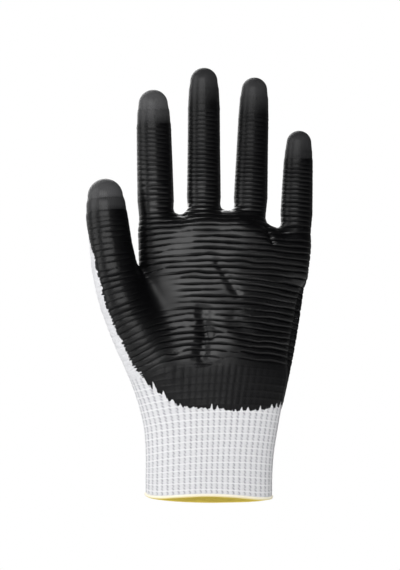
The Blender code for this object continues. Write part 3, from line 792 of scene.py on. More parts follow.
def add_piece(name, points, polygons, looks, normals=None, uvs=None, marks=None):
    """A mesh object in metres, with its knit places as UVs and, if given, its own shading normals."""
    used = np.unique(np.concatenate([np.asarray(polygon) for polygon in polygons]))
    number = np.zeros(len(points), int)
    number[used] = np.arange(len(used))
    mesh = bpy.data.meshes.new(name)
    mesh.from_pydata(points[used] * TO_M, [], [number[polygon].tolist() for polygon in polygons])
    if uvs is not None:
        layer = mesh.uv_layers.new(name="knit")
        layer.data.foreach_set("uv", np.concatenate(uvs).astype(np.float32).ravel())
    for mark, values in (marks or {}).items():
        attribute = mesh.attributes.new(mark, "FLOAT", "POINT")
        attribute.data.foreach_set("value", values[used].astype(np.float32))
    rest = mesh.attributes.new("rest_place", "FLOAT_VECTOR", "POINT")
    rest.data.foreach_set("vector", (points[used] * TO_M).astype(np.float32).ravel())
    mesh.shade_smooth()
    if normals is not None:
        mesh.normals_split_custom_set_from_vertices(normals[used].tolist())
    mesh.materials.append(looks)
    made = bpy.data.objects.new(name, mesh)
    bpy.context.scene.collection.objects.link(made)
    return made


def knit_uvs(polygons, owners, point_wales, point_course):
    """Wale and course of each corner, in millimetres, with the seam of the tube closed up."""
    found = []
    for polygon, part in zip(polygons, owners):
        wale = point_wales[part][polygon]
        full = PALM_ROUND if part == 0 else DIGIT_ROUND
        if wale.max() - wale.min() > full / 2:
            wale = np.where(wale < full / 2, wale + full, wale)
        found.append(np.column_stack([wale, point_course[polygon]]))
    return found


def attach(made, piece, layer):
    """Lets a palm piece ride with the palm's body; a digit's piece keeps its place in the mesh and hides the
    solid that it stands for.
    """
    digit_name, part, k = piece
    if part is None:
        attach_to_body(made, "palm")
        return
    digit = next(d for d in digits if d["name"] == digit_name)
    bodies = BODY_NAMES[len(digit["folds"])]
    marks = digit["lengths"][digit["fold_row"]:]
    before = ROOT_FOLD_REACH if k == 0 else min(FOLD_REACH, (marks[k] - marks[k - 1]) / 2)
    after = FOLD_REACH if k == len(bodies) - 1 else min(FOLD_REACH, (marks[k + 1] - marks[k]) / 2)
    middle = (digit["alongs"][max(k - 1, 0)] + digit["alongs"][k]) / 2
    middle /= np.linalg.norm(middle)
    fold = digit["folds"][k]
    child = f"{digit_name}_{bodies[k]}"
    start, end = (fold - middle * before) * TO_M, (fold + middle * after) * TO_M
    tuple(start)
    tuple(end)
    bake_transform(made)
    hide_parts(f"{child}_{layer}")


def maths(tree, operation, a, b=None, c=None):
    """A Math node; each input is a number or a socket."""
    node = tree.nodes.new("ShaderNodeMath")
    node.operation = operation
    for socket, value in zip(node.inputs, (a, b, c)):
        if value is None:
            continue
        if isinstance(value, (int, float)):
            socket.default_value = value
        else:
            tree.links.new(value, socket)
    return node.outputs[0]


def mix_colour(tree, low, high, share):
    """A colour between two, by a share."""
    mix = tree.nodes.new("ShaderNodeMix")
    mix.data_type = "RGBA"
    mix.inputs[6].default_value = (*low, 1.0)
    mix.inputs[7].default_value = (*high, 1.0)
    tree.links.new(share, mix.inputs[0])
    return mix.outputs[2]


def new_group(name, inputs, outputs):
    """An empty shader group with named value sockets, and its inner input and output nodes."""
    group = bpy.data.node_groups.new(name, "ShaderNodeTree")
    for socket_name, kind, value in inputs:
        socket = group.interface.new_socket(socket_name, in_out="INPUT", socket_type=kind)
        if value is not None:
            socket.default_value = value
    for socket_name in outputs:
        group.interface.new_socket(socket_name, in_out="OUTPUT", socket_type="NodeSocketFloat")
    inside = group.nodes.new("NodeGroupInput")
    outside = group.nodes.new("NodeGroupOutput")
    return group, inside.outputs, outside.inputs


def split_place(group, place):
    """The wale and the course of a place in the knit."""
    split = group.nodes.new("ShaderNodeSeparateXYZ")
    group.links.new(place, split.inputs[0])
    return split.outputs[0], split.outputs[1]


def build_knit_loops():
    """The loops of the yarn: Height stands up along each leg of a stitch."""
    group, inside, outside = new_group(
        "knit_loops", [("Place", "NodeSocketVector", None), ("Wale", "NodeSocketFloat", 1.2),
                       ("Course", "NodeSocketFloat", 0.9)], ["Height"])
    across, up = split_place(group, inside["Place"])
    wale = maths(group, "DIVIDE", across, inside["Wale"])
    rise = maths(group, "DIVIDE", up, inside["Course"])
    leg = maths(group, "ABSOLUTE", maths(group, "SUBTRACT", maths(group, "FRACT", wale), 0.5))
    lean = maths(group, "ADD", rise, leg)
    loop = maths(group, "ABSOLUTE", maths(group, "SINE", maths(group, "MULTIPLY", lean, math.pi)))
    row = maths(group, "ABSOLUTE", maths(group, "SINE", maths(group, "MULTIPLY", wale, math.pi)))
    height = maths(group, "MULTIPLY", maths(group, "POWER", loop, 0.6), maths(group, "POWER", row, 0.5))
    group.links.new(height, outside["Height"])
    return group


def build_cuff_grid():
    """The cuff's grid, one cell to a unit: Shade is two slanted stitches in each cell, and Line a course."""
    group, inside, outside = new_group("cuff_grid", [("Place", "NodeSocketVector", None)], ["Shade", "Line"])
    across, up = split_place(group, inside["Place"])
    wale = maths(group, "SUBTRACT", maths(group, "FRACT", across), 0.5)
    rise = maths(group, "FRACT", up)
    half = maths(group, "SUBTRACT", maths(group, "FRACT", maths(group, "MULTIPLY", rise, 2.0)), 0.5)
    slant = maths(group, "ABSOLUTE", maths(group, "MULTIPLY_ADD", wale, 1.1, half))
    above = maths(group, "ADD", half, 0.5)
    other = maths(group, "ABSOLUTE", maths(group, "MULTIPLY_ADD", wale, -0.8, above))
    stroke = maths(group, "SMOOTH_MIN", slant, other, 0.05)
    stroke = maths(group, "MAXIMUM", maths(group, "MULTIPLY_ADD", stroke, -4.2, 1.0), 0.0)
    within = maths(group, "MULTIPLY_ADD", maths(group, "ABSOLUTE", wale), -4.2, 1.25)
    within = maths(group, "MINIMUM", maths(group, "MAXIMUM", within, 0.0), 1.0)
    mark = maths(group, "MULTIPLY_ADD", within, 0.30, maths(group, "MULTIPLY", stroke, within))
    from_line = maths(group, "PINGPONG", rise, 0.5)
    line = maths(group, "MAXIMUM", maths(group, "MULTIPLY_ADD", from_line, -9.0, 1.0), 0.0)
    shade = maths(group, "MULTIPLY", mark, maths(group, "SUBTRACT", 1.0, line))
    group.links.new(shade, outside["Shade"])
    group.links.new(line, outside["Line"])
    return group


knit_loops = build_knit_loops()
cuff_grid = build_cuff_grid()


def new_material(name, roughness, specular=0.5):
    """A material with its Principled shader, and the knit places that its patterns read."""
    made = bpy.data.materials.new(name)
    made.use_nodes = True
    tree = made.node_tree
    shader = tree.nodes["Principled BSDF"]
    shader.inputs["Roughness"].default_value = roughness
    shader.inputs["Specular IOR Level"].default_value = specular
    place = tree.nodes.new("ShaderNodeUVMap")
    place.uv_map = "knit"
    return made, tree, shader, place.outputs["UV"]


def add_bump(tree, shader, height, distance, strength=1.0):
    """Raises the surface by a height of up to a distance in millimetres."""
    bump = tree.nodes.new("ShaderNodeBump")
    bump.inputs["Distance"].default_value = distance * TO_M
    bump.inputs["Strength"].default_value = strength
    tree.links.new(height, bump.inputs["Height"])
    tree.links.new(bump.outputs["Normal"], shader.inputs["Normal"])


def read_mark(tree, name):
    """A value that the mesh carries at each point."""
    node = tree.nodes.new("ShaderNodeAttribute")
    node.attribute_name = name
    return node.outputs["Fac"]


def place_group(tree, group, place, **values):
    """The outputs of a shared group, placed with a material's own values."""
    node = tree.nodes.new("ShaderNodeGroup")
    node.node_tree = group
    tree.links.new(place, node.inputs["Place"])
    for name, value in values.items():
        node.inputs[name].default_value = value
    return node.outputs


def vector_maths(tree, operation, a, b):
    """A Vector Math node; each input is a tuple or a socket."""
    node = tree.nodes.new("ShaderNodeVectorMath")
    node.operation = operation
    for socket, value in zip(node.inputs, (a, b)):
        if isinstance(value, tuple):
            socket.default_value = value
        else:
            tree.links.new(value, socket)
    return node.outputs[0]


def add_noise(tree, place, scale, detail=2.0):
    """Random unevenness about 0, so many to a millimetre."""
    noise = tree.nodes.new("ShaderNodeTexNoise")
    tree.links.new(place, noise.inputs["Vector"])
    noise.inputs["Scale"].default_value = scale
    noise.inputs["Detail"].default_value = detail
    return maths(tree, "SUBTRACT", noise.outputs["Fac"], 0.5)


def kept(tree, value, mask, loss):
    """A value, less a share of it where a mask is 1."""
    return maths(tree, "MULTIPLY", value, maths(tree, "MULTIPLY_ADD", mask, -loss, 1.0))


KNIT_WHITE = (0.80, 0.80, 0.81)
KNIT_SHADOW = (0.30, 0.30, 0.33)


def white_knit_material():
    made, tree, shader, place = new_material("white_knit", 0.85, 0.2)
    loops = place_group(tree, knit_loops, place, Wale=1.2, Course=0.9)
    drop = tree.nodes.new("ShaderNodeCombineXYZ")
    tree.links.new(read_mark(tree, "grid_drop"), drop.inputs[1])
    cells = vector_maths(tree, "DIVIDE", vector_maths(tree, "ADD", place, drop.outputs[0]),
                         (GRID_WALE, GRID_COURSE, 1.0))
    grid = place_group(tree, cuff_grid, cells)
    in_grid = read_mark(tree, "grid_share")
    uneven = maths(tree, "MULTIPLY_ADD", add_noise(tree, place, 0.35), 1.6, 1.0)
    shade = maths(tree, "MULTIPLY", maths(tree, "MULTIPLY", grid["Shade"], uneven), in_grid)
    # Painted shade: the knit is painted darker in the gaps between its yarn loops, and in the grid's sunken
    # stitch marks
    loop_gap_shade = maths(tree, "POWER", maths(tree, "SUBTRACT", 1.0, loops["Height"]), 3.0)
    loop_gap_shade = kept(tree, loop_gap_shade, in_grid, 0.8)
    dark = maths(tree, "MULTIPLY_ADD", shade, 0.62, maths(tree, "MULTIPLY_ADD", loop_gap_shade, 0.35, 0.28))
    line = maths(tree, "MULTIPLY", grid["Line"], in_grid)
    dark = maths(tree, "MULTIPLY_ADD", line, -0.22, dark)
    colour = mix_colour(tree, KNIT_WHITE, KNIT_SHADOW, dark)
    tree.links.new(colour, shader.inputs["Base Color"])
    height = maths(tree, "SUBTRACT", loops["Height"], shade)
    add_bump(tree, shader, height, 0.12, 0.6)
    return made


white_knit = white_knit_material()
knit_marks = {"grid_share": grid_share, "grid_drop": grid_drop}
for number, piece in enumerate(pieces):
    rows = np.nonzero(face_piece == number)[0]
    polygons = skin_faces[rows]
    name = "_".join(word for word in (piece[0], piece[1], "knit") if word)
    uvs = knit_uvs(polygons, owner[rows], wales, course)
    made = add_piece(name, skin_points, polygons, white_knit, skin_normals, uvs, knit_marks)
    attach(made, piece, "liner")
    if piece[0] == "palm":
        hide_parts("palm_liner")
    if piece[0] == "cuff":
        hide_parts("knit_cuff")


# ---------------------------------------------------------------------------------------------------------
# The nitrile coating: the palm side was dipped in black rubber, which runs round the fingertips and a
# little round each side. It keeps the form of the ribs, and its edge is ragged where the knit soaked it up.
# ---------------------------------------------------------------------------------------------------------

# How far round from straight in front the dip reaches on a finger, and on the thumb's inner side; how far it
# wraps over the back of each tip, and how far behind the palm's middle its edge runs
COVER_TURN = math.radians(105.0)
THUMB_COVER_TURN = math.radians(97.0)
THUMB_FRONT_TURN = math.radians(45.0)
TIP_WRAP = 12.0
PALM_COVER_BEHIND = 2.6

# How glossy the dip is on the palm and each digit, how much each tip is worn matte and painted paler as
# painted sheen, and over what length
GLOSS = np.array([0.68, 0.27, 0.24, 0.15, 0.13, 0.32])
TIP_WEAR_AND_SHEEN = np.array([0.0, 1.45, 0.5, 0.6, 0.5, 1.5])
TIP_WEAR_AND_SHEEN_LENGTH = 20.0

# Above this height the dip has no lower edge in front: it goes round each finger instead
DIP_EDGE_TOP = 155.0

# How far round from straight in front the coating reaches on the thumb's outer side, by height
THUMB_EDGE = np.array([(80.0, 40.0), (109.0, 49.0), (126.0, 50.0), (136.0, 57.0), (148.0, 80.0),
                       (156.0, 100.0), (175.0, 108.0)])

# The lower edge of the dip across the palm, from the thumb's side to the little finger's: across, height
DIP_EDGE = np.array([
    (-72.0, 170.0), (-70.0, 148.5), (-66.0, 133.0), (-62.4, 119.0), (-57.5, 105.2), (-50.0, 89.2),
    (-42.0, 74.6), (-33.0, 63.6), (-27.4, 59.0), (-21.8, 54.4), (-16.0, 52.0), (-10.0, 50.6), (0.0, 50.0),
    (12.0, 49.2), (23.0, 49.0), (29.0, 49.8), (35.0, 51.4), (41.0, 52.8), (60.0, 55.6),
])


def beyond_edge(points):
    """The distance of each point from the dip's lower edge as seen from the palm side, positive inside."""
    flat = points[:, [0, 2]]
    best = np.full(len(flat), 1e9)
    sign = np.ones(len(flat))
    for a, b in zip(DIP_EDGE, DIP_EDGE[1:]):
        span = b - a
        share = np.clip((flat - a) @ span / (span @ span), 0.0, 1.0)
        away = flat - (a + share[:, None] * span)
        distance = np.linalg.norm(away, axis=1)
        closer = distance < best
        best = np.where(closer, distance, best)
        sign = np.where(closer, np.sign(span[0] * away[:, 1] - span[1] * away[:, 0]), sign)
    return best * sign


covers = [PALM_COVER_BEHIND - skin_base[:, 1]]
for digit, turn, along in zip(digits, turns[1:], alongs[1:]):
    radius = np.interp(along, digit["lengths"], digit["radii"])
    if digit is thumb:
        edge = np.radians(np.interp(skin_base[:, 2], *THUMB_EDGE.T))
        cover = np.minimum(turn + THUMB_FRONT_TURN + edge, THUMB_COVER_TURN - turn)
    else:
        cover = COVER_TURN - np.abs(turn)
    end = digit["lengths"][-1] + digit["radii"][-1]
    covers.append(np.maximum(cover * radius, along - end + TIP_WRAP))
cover = (shares * np.array(covers)).sum(axis=0)
smooth_depth = np.where(skin_base[:, 2] < DIP_EDGE_TOP, np.minimum(cover, beyond_edge(skin_base)), cover)

# The faces near the lower edge are split finely, so that its small teeth can be cut
EDGE_BAND = 2.8
EDGE_BAND_TOP = 140.0
EDGE_SPLIT = 3

valley_depth = rib_height / PALM_RIB_HEIGHT
gloss = GLOSS @ shares
gloss *= 1 + shares[0] * 0.5 * Ripple(41, (9.0, 40.0, 5.0)).at(skin_base)
gloss *= 1 + 1.3 * ramp(course, 152.0, 164.0) * (1 - ramp(course, 172.0, 196.0)) * (1 - shares[5])
# Each tip's pale colour is painted sheen; its lost gloss and rougher grain are wear
tip_wear_and_sheen = (TIP_WEAR_AND_SHEEN @ shares) * np.clip(1 - to_tip / TIP_WEAR_AND_SHEEN_LENGTH, 0.0, 1.0)

# What each point of the coating carries with it through the splitting and the cutting below
CARRIED = {"point": skin_points, "outward": skin_outward, "base": skin_base, "course": course,
           "depth": smooth_depth, "tip_wear_and_sheen": tip_wear_and_sheen, "grid": grid_height, "rib_phase": rib_phase,
           "valley_depth": valley_depth, "valley_width": valley_width, "gloss": gloss, "wales": wales.T}
carried = np.column_stack(list(CARRIED.values()))


def carried_value(table, name):
    """One of the carried values, from a table that has a row for each point."""
    start = 0
    for key, values in CARRIED.items():
        width = 1 if values.ndim == 1 else values.shape[1]
        if key == name:
            return table[:, start] if values.ndim == 1 else table[:, start:start + width]
        start += width


near_edge = ((np.abs(smooth_depth[skin_faces]).min(axis=1) < EDGE_BAND)
             & (skin_base[skin_faces][:, :, 2].max(axis=1) < EDGE_BAND_TOP)
             & (smooth_depth[skin_faces].max(axis=1) > -EDGE_BAND))
far_rows = np.nonzero(~near_edge & (smooth_depth[skin_faces].max(axis=1) > 0))[0]
near_rows = np.nonzero(near_edge)[0]


def split_faces(faces, values, parts):
    """Each face as parts x parts small ones: (values at the new points, new faces), numbered from 0."""
    corners = values[faces]
    shares_across = np.arange(parts + 1) / parts
    grid = []
    for up in shares_across:
        for across in shares_across:
            weights = ((1 - across) * (1 - up), across * (1 - up), across * up, (1 - across) * up)
            grid.append(sum(weight * corners[:, n] for n, weight in enumerate(weights)))
    new_values = np.stack(grid, axis=1).reshape(-1, values.shape[1])
    row = parts + 1
    small = [(j * row + i, j * row + i + 1, (j + 1) * row + i + 1, (j + 1) * row + i)
             for j in range(parts) for i in range(parts)]
    starts = np.arange(len(faces)) * row * row
    new_faces = (starts[:, None, None] + np.array(small)[None]).reshape(-1, 4)
    return new_values, new_faces


small_values, small_faces = split_faces(skin_faces[near_rows], carried, EDGE_SPLIT)
coat_values = np.vstack([carried, small_values])
coat_faces = np.vstack([skin_faces[far_rows], small_faces + len(carried)])
coat_from = np.append(far_rows, np.repeat(near_rows, EDGE_SPLIT ** 2))
coat_base = carried_value(coat_values, "base")
coat_wale = carried_value(coat_values, "wales")[:, 0] / GRID_WALE

# White spikes of knit stand up into the black at each column, and along the glove's two sides at each course
SPIKE_LENGTH = 3.3
SIDE_SPIKE_LENGTH = 1.5
SIDE_SPIKE_PITCH = 1.9
random_spikes = np.random.RandomState(5).uniform(0.15, 1.1, 64)


def spikes(place, half_width):
    """Teeth of random length at the whole numbers, each so wide."""
    number = np.round(place).astype(int)
    return np.clip(1 - np.abs(place - number) / half_width, 0.0, 1.0) * random_spikes[number % 64]


spike = spikes(coat_wale, 0.27)
side_spike = spikes(carried_value(coat_values, "course") / SIDE_SPIKE_PITCH, 0.3)
upright = ramp(coat_base[:, 2], 56.0, 60.0) * ramp(coat_base[:, 0], 0.0, 20.0)
to_side = np.maximum(1 - ramp(coat_base[:, 0], -40.0, -30.0), upright)
ragged = (SPIKE_LENGTH * spike * (1 - to_side) + SIDE_SPIKE_LENGTH * side_spike * to_side
          + 0.9 * Ripple(11, (1.3, 3.0, 1.6)).at(coat_base) + 0.35 * Ripple(12, (0.6, 2.0, 0.8)).at(coat_base)
          - 0.7)
ragged *= 1 - ramp(coat_base[:, 2], 125.0, 150.0) * 0.5
depth_in = carried_value(coat_values, "depth") - ragged


def clip_at_zero(faces, depth):
    """Cuts the faces at depth zero: (polygons inside, the face each came from, edges cut, and where)."""
    inside = depth > 0
    count = inside[faces].sum(axis=1)
    polygons = list(faces[count == 4])
    came_from = np.nonzero(count == 4)[0].tolist()
    cuts = {}
    places = []
    for row in np.nonzero((count > 0) & (count < 4))[0]:
        polygon = []
        for a, b in zip(faces[row], np.roll(faces[row], -1)):
            if inside[a]:
                polygon.append(int(a))
            if inside[a] != inside[b]:
                key = (min(a, b), max(a, b))
                if key not in cuts:
                    cuts[key] = len(depth) + len(cuts)
                    places.append(depth[key[0]] / (depth[key[0]] - depth[key[1]]))
                polygon.append(cuts[key])
        polygons.append(np.array(polygon))
        came_from.append(int(row))
    return polygons, np.array(came_from), np.array(list(cuts)), np.array(places)


coat_polygons, kept_rows, cut_ends, cut_places = clip_at_zero(coat_faces, depth_in)
coat_from = coat_from[kept_rows]


def with_cuts(values):
    """A value at each point, followed by its value at each cut."""
    a, b = values[cut_ends[:, 0]], values[cut_ends[:, 1]]
    share = cut_places.reshape((-1,) + (1,) * (values.ndim - 1))
    return np.concatenate([values, a + (b - a) * share])


COAT_EDGE_SINK = 0.08
COAT_EDGE_RISE = 0.36
COAT_FULL_RISE = 0.22

# How much of the wrist's grid the coating fills, and the width of the dark line in a valley between ribs
GRID_FILL = 0.5
VALLEY_LINE = 0.095


def coat_rise(depth):
    """How far the coating stands out of the knit, by how far in from its edge."""
    return -COAT_EDGE_SINK + COAT_EDGE_RISE * ramp(depth, 0.0, 0.7) + COAT_FULL_RISE * ramp(depth, 0.7, 3.0)


whole_rise = coat_rise(smooth_depth)
coat_normals = point_normals(skin_points + skin_outward * whole_rise[:, None], skin_faces)
if len(near_rows):
    small_normals, _ = split_faces(skin_faces[near_rows], coat_normals, EDGE_SPLIT)
    coat_normals = np.vstack([coat_normals, small_normals])
coat_normals = with_cuts(coat_normals)
coat_normals /= np.linalg.norm(coat_normals, axis=1)[:, None]
fill = -GRID_FILL * carried_value(coat_values, "grid") * ramp(depth_in, 0.5, 4.0)
raised = carried_value(coat_values, "outward") * (coat_rise(depth_in) + fill)[:, None]
coat_points = with_cuts(carried_value(coat_values, "point") + raised)
coat_values = with_cuts(coat_values)
coat_course = carried_value(coat_values, "course")
coat_marks = {
    "tip_wear_and_sheen": carried_value(coat_values, "tip_wear_and_sheen"),
    "lower_dip": 1 - ramp(coat_course, 69.0, 80.0),
    "smooth_palm": hill(carried_value(coat_values, "base"), *SMOOTH_PATCH),
    "rib_phase": carried_value(coat_values, "rib_phase"),
    "valley_depth": np.clip(1.6 * carried_value(coat_values, "valley_depth"), 0.0, 1.0),
    "valley_width": carried_value(coat_values, "valley_width"),
    "gloss": np.clip(carried_value(coat_values, "gloss"), 0.0, 1.0),
}


def rest_place(tree):
    """Where each point lay before the hand moved, so that the grain stays put on the rubber as it folds."""
    node = tree.nodes.new("ShaderNodeAttribute")
    node.attribute_name = "rest_place"
    return node.outputs["Vector"]


def wave_along(tree, place, pitch):
    """A wave from -1 to 1 along one direction of the knit."""
    return maths(tree, "SINE", maths(tree, "MULTIPLY", place, 2 * math.pi / pitch))


# The pitch of the dots in the rubber, across and up the knit
DOT_PITCH = (1.15, 1.35)
NITRILE_BLACK = (0.0016, 0.0016, 0.0019)
# The pale colour paints sheen on the tips, and is the thin lower dip's own paler tone
NITRILE_PALE = (0.070, 0.070, 0.072)


def black_nitrile_material():
    made, tree, shader, place = new_material("black_nitrile", 0.45, 0.10)
    tip = read_mark(tree, "tip_wear_and_sheen")
    lower = read_mark(tree, "lower_dip")
    smooth = read_mark(tree, "smooth_palm")
    grain = add_noise(tree, rest_place(tree), 900.0, 3.0)
    across, up = split_place(tree, place)
    dots = maths(tree, "MULTIPLY", wave_along(tree, across, DOT_PITCH[0]), wave_along(tree, up, DOT_PITCH[1]))
    stitches = place_group(tree, knit_loops, place, Wale=1.1, Course=1.3)["Height"]

    # A worn tip is painted paler, as painted sheen over its matte wear, and the thin lower dip is paler
    pale = maths(tree, "MULTIPLY_ADD", lower, 0.075, tip)
    tree.links.new(mix_colour(tree, NITRILE_BLACK, NITRILE_PALE, pale), shader.inputs["Base Color"])
    tree.links.new(maths(tree, "MULTIPLY_ADD", grain, 0.2, 0.45), shader.inputs["Roughness"])

    # The valleys between the ribs, which hold no gloss
    from_valley = maths(tree, "PINGPONG", read_mark(tree, "rib_phase"), 0.5)
    line = maths(tree, "MULTIPLY", read_mark(tree, "valley_width"), VALLEY_LINE)
    off = maths(tree, "POWER", maths(tree, "DIVIDE", from_valley, line), 2.0)
    valley = maths(tree, "EXPONENT", maths(tree, "MULTIPLY", off, -1.0))
    valley = maths(tree, "MULTIPLY", valley, read_mark(tree, "valley_depth"))

    gloss = read_mark(tree, "gloss")
    for mask, loss in ((valley, 0.95), (lower, 0.9), (smooth, 0.5), (tip, 0.5)):
        gloss = kept(tree, gloss, mask, loss)
    gloss = maths(tree, "MULTIPLY", gloss, maths(tree, "MULTIPLY_ADD", dots, 0.25, 0.9))
    tree.links.new(gloss, shader.inputs["Coat Weight"])
    shader.inputs["Coat Roughness"].default_value = 0.26

    # The fine relief: stitches under the rubber, its grain and dots, and the sharp foot of each valley
    depth = maths(tree, "MULTIPLY_ADD", lower, -0.03, maths(tree, "MULTIPLY_ADD", tip, 0.02, 0.045))
    fine = maths(tree, "MULTIPLY_ADD", grain, 0.07, maths(tree, "MULTIPLY", stitches, depth))
    dot_depth = maths(tree, "MULTIPLY_ADD", lower, -0.03, 0.045)
    fine = maths(tree, "ADD", fine, maths(tree, "MULTIPLY", dots, dot_depth))
    fine = maths(tree, "MULTIPLY_ADD", valley, -0.35, kept(tree, fine, smooth, 0.9))
    add_bump(tree, shader, fine, 1.0, 1.0)
    return made


black_nitrile = black_nitrile_material()
coat_piece = face_piece[coat_from]
coat_piece[coat_piece == len(pieces) - 1] = 0
coat_owner = owner[coat_from]
coat_wales = carried_value(coat_values, "wales").T
for number, piece in enumerate(pieces[:-1]):
    rows = np.nonzero(coat_piece == number)[0]
    polygons = [coat_polygons[row] for row in rows]
    name = "_".join(word for word in (piece[0], piece[1], "dip") if word)
    uvs = knit_uvs(polygons, coat_owner[rows], coat_wales, coat_course)
    made = add_piece(name, coat_points, polygons, black_nitrile, coat_normals, uvs, coat_marks)
    attach(made, piece, "coating")
    if piece[0] == "palm":
        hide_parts("palm_coating")


# ---------------------------------------------------------------------------------------------------------
# The hem: a yellow overlock thread that binds the open edge of the cuff, with a long inner leg, which shows
# through the mouth, and a thin paler edge in front. It is sewn on and rides with the palm.
# ---------------------------------------------------------------------------------------------------------

HEM_STEPS = 900
HEM_STITCH = 1.5
THREAD_STAND = 0.12
THREAD_DROP = 0.10
THREAD_LEAN = 4.0

# Across the cuff's wall (outward from the liner's face) and up from its edge, from the outer leg to the inner
HEM_SECTION = np.array([
    (0.02, 1.5), (0.42, 1.3), (0.62, 0.9), (0.62, 0.3), (0.35, -0.1), (-0.3, -0.25), (-1.0, -0.1),
    (-1.25, 0.3), (-1.32, 1.2), (-1.34, 2.2), (-1.34, 3.4), (-1.32, 4.6), (-1.28, 5.6), (-1.1, 6.3),
    (-0.7, 6.5),
])


def cuff_outline(z, turn):
    """A point on the cuff's outer face and the direction outward, round from straight in front."""
    middle, half_width, front, back = hand_section(z)
    x, y = np.sin(turn), -np.cos(turn)
    size = (np.abs(x) ** SECTION_POWER + np.abs(y) ** SECTION_POWER) ** (-1 / SECTION_POWER)
    depth = np.where(y < 0, front, back)
    point = np.column_stack([middle + half_width * size * x, depth * size * y])
    slope = np.column_stack([np.sign(x) * np.abs(size * x) ** (SECTION_POWER - 1) / half_width,
                             np.sign(y) * np.abs(size * y) ** (SECTION_POWER - 1) / depth])
    return point, slope / np.linalg.norm(slope, axis=1)[:, None]


def even_turns(count):
    """Turns round the cuff that are evenly spaced along its edge."""
    fine = np.linspace(-np.pi, np.pi, 4001)
    edge, _ = cuff_outline(np.full(len(fine), 5.0), fine)
    lengths = np.append(0.0, np.cumsum(np.linalg.norm(np.diff(edge, axis=0), axis=1)))
    places = np.linspace(0.0, lengths[-1], count, endpoint=False)
    return np.interp(places, lengths, fine), places, lengths[-1]


def tube_faces(rings, around):
    """Quads between closed rings of points."""
    start, turn = np.meshgrid(np.arange(rings - 1) * around, np.arange(around), indexing="ij")
    following = (turn + 1) % around
    corners = (start + turn, start + following, start + around + following, start + around + turn)
    return np.stack(corners, axis=-1).reshape(-1, 4)


hem_turns, hem_places, hem_round = even_turns(HEM_STEPS)
stitch_count = round(hem_round / HEM_STITCH)
hem_points, hem_uvs = [], []
section_lengths = np.append(0.0, np.cumsum(np.linalg.norm(np.diff(HEM_SECTION, axis=0), axis=1)))
for (out, up), run in zip(HEM_SECTION, section_lengths):
    edge, outward = cuff_outline(np.full(HEM_STEPS, max(up, 0.0)), hem_turns)
    phase = (hem_places / hem_round * stitch_count + run / THREAD_LEAN) % 1.0
    stitch = np.abs(np.sin(np.pi * phase))
    sideways = out + np.sign(out + 0.3) * THREAD_STAND * stitch
    drop = THREAD_DROP * THREAD_STAND * stitch if up < 0.5 else 0.0
    hem_points.append(np.column_stack([edge + outward * sideways[:, None], np.full(HEM_STEPS, up) - drop]))
    hem_uvs.append(np.column_stack([hem_places, np.full(HEM_STEPS, run)]))
hem_points = np.concatenate(hem_points)
hem_points[:, 2] += hem_lift(hem_points * (1.0, 1.0, 0.0))
hem_faces = tube_faces(len(HEM_SECTION), HEM_STEPS)[:, ::-1]
hem_corner_uvs = np.concatenate(hem_uvs)[hem_faces]
hem_run = hem_corner_uvs[:, :, 0]
past_seam = (np.ptp(hem_run, axis=1)[:, None] > hem_round / 2) & (hem_run < hem_round / 2)
hem_run[past_seam] += hem_round


# The thread glows a little in its own colour: painted light that brightens the hem inside the cuff, in place
# of light through the thin knit
HEM_PAINTED_GLOW = 0.12


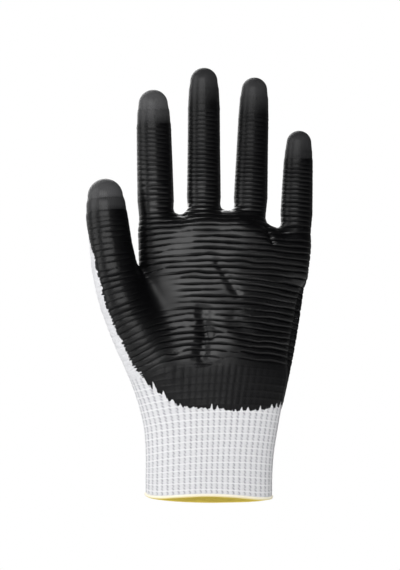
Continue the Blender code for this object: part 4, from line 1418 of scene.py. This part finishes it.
def overlock_material():
    made, tree, shader, place = new_material("yellow_overlock", 0.75, 0.2)
    along, up = split_place(tree, place)
    lean = maths(tree, "ADD", maths(tree, "DIVIDE", along, 0.5), maths(tree, "DIVIDE", up, 1.4))
    strand = maths(tree, "ABSOLUTE", maths(tree, "SINE", maths(tree, "MULTIPLY", lean, math.pi)))
    from_edge = maths(tree, "MULTIPLY_ADD", up, -1 / 1.6, 1.6)
    pale = maths(tree, "MINIMUM", maths(tree, "MAXIMUM", from_edge, 0.0), 1.0)
    colour = tree.nodes.new("ShaderNodeMix")
    colour.data_type = "RGBA"
    colour.inputs[7].default_value = (0.78, 0.74, 0.62, 1.0)
    tree.links.new(pale, colour.inputs[0])
    # Painted shade: the thread is painted darker in the grooves between its strands
    tree.links.new(mix_colour(tree, (0.58, 0.45, 0.07), (0.76, 0.60, 0.11), strand), colour.inputs[6])
    tree.links.new(colour.outputs[2], shader.inputs["Base Color"])
    # Painted glow: the thread gives off a little light of its own colour
    tree.links.new(colour.outputs[2], shader.inputs["Emission Color"])
    shader.inputs["Emission Strength"].default_value = HEM_PAINTED_GLOW
    add_bump(tree, shader, strand, 0.10, 0.5)
    return made


yellow_overlock = overlock_material()
hem = add_piece("hem_overlock_thread", hem_points, hem_faces, yellow_overlock, uvs=hem_corner_uvs)
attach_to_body(hem, "palm")
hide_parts("hem_overlock")


# ---------------------------------------------------------------------------------------------------------
# The elastic: one rubber yarn laid in the cuff's wall, going round and round it, once every course that
# stands up outside. It shows only from inside the cuff.
# ---------------------------------------------------------------------------------------------------------

ELASTIC_LOW = 9.0
ELASTIC_HIGH = 46.0
ELASTIC_RADIUS = 0.35
ELASTIC_INSET = 0.75
ELASTIC_AROUND = 8
ELASTIC_STEPS = 120
ELASTIC_TWIST = 0.9
ELASTIC_LOBES = 0.12

coil_turns, _, _ = even_turns(ELASTIC_STEPS)
turns_up = (ELASTIC_HIGH - ELASTIC_LOW) / GRID_COURSE
coil_count = int(turns_up * ELASTIC_STEPS)
coil_step = np.arange(coil_count)
coil_height = ELASTIC_LOW + coil_step / ELASTIC_STEPS * GRID_COURSE
coil_edge, coil_out = cuff_outline(coil_height, coil_turns[coil_step % ELASTIC_STEPS])
coil_points = []
for corner in range(ELASTIC_AROUND):
    angle = 2 * np.pi * corner / ELASTIC_AROUND + coil_step * ELASTIC_TWIST
    radius = ELASTIC_RADIUS * (1 + ELASTIC_LOBES * math.cos(np.pi * corner))
    flat = coil_edge + coil_out * (-ELASTIC_INSET + radius * np.cos(angle))[:, None]
    coil_points.append(np.column_stack([flat, coil_height + radius * np.sin(angle)]))
coil_points = np.stack(coil_points, axis=1).reshape(-1, 3)

elastic_material, _, elastic_shader, _ = new_material("white_elastic", 0.6)
elastic_shader.inputs["Base Color"].default_value = (0.72, 0.71, 0.68, 1.0)
coil_faces = tube_faces(coil_count, ELASTIC_AROUND)
elastic = add_piece("cuff_elastic_yarn", coil_points, coil_faces, elastic_material)
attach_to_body(elastic, "palm")
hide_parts("cuff_elastic")
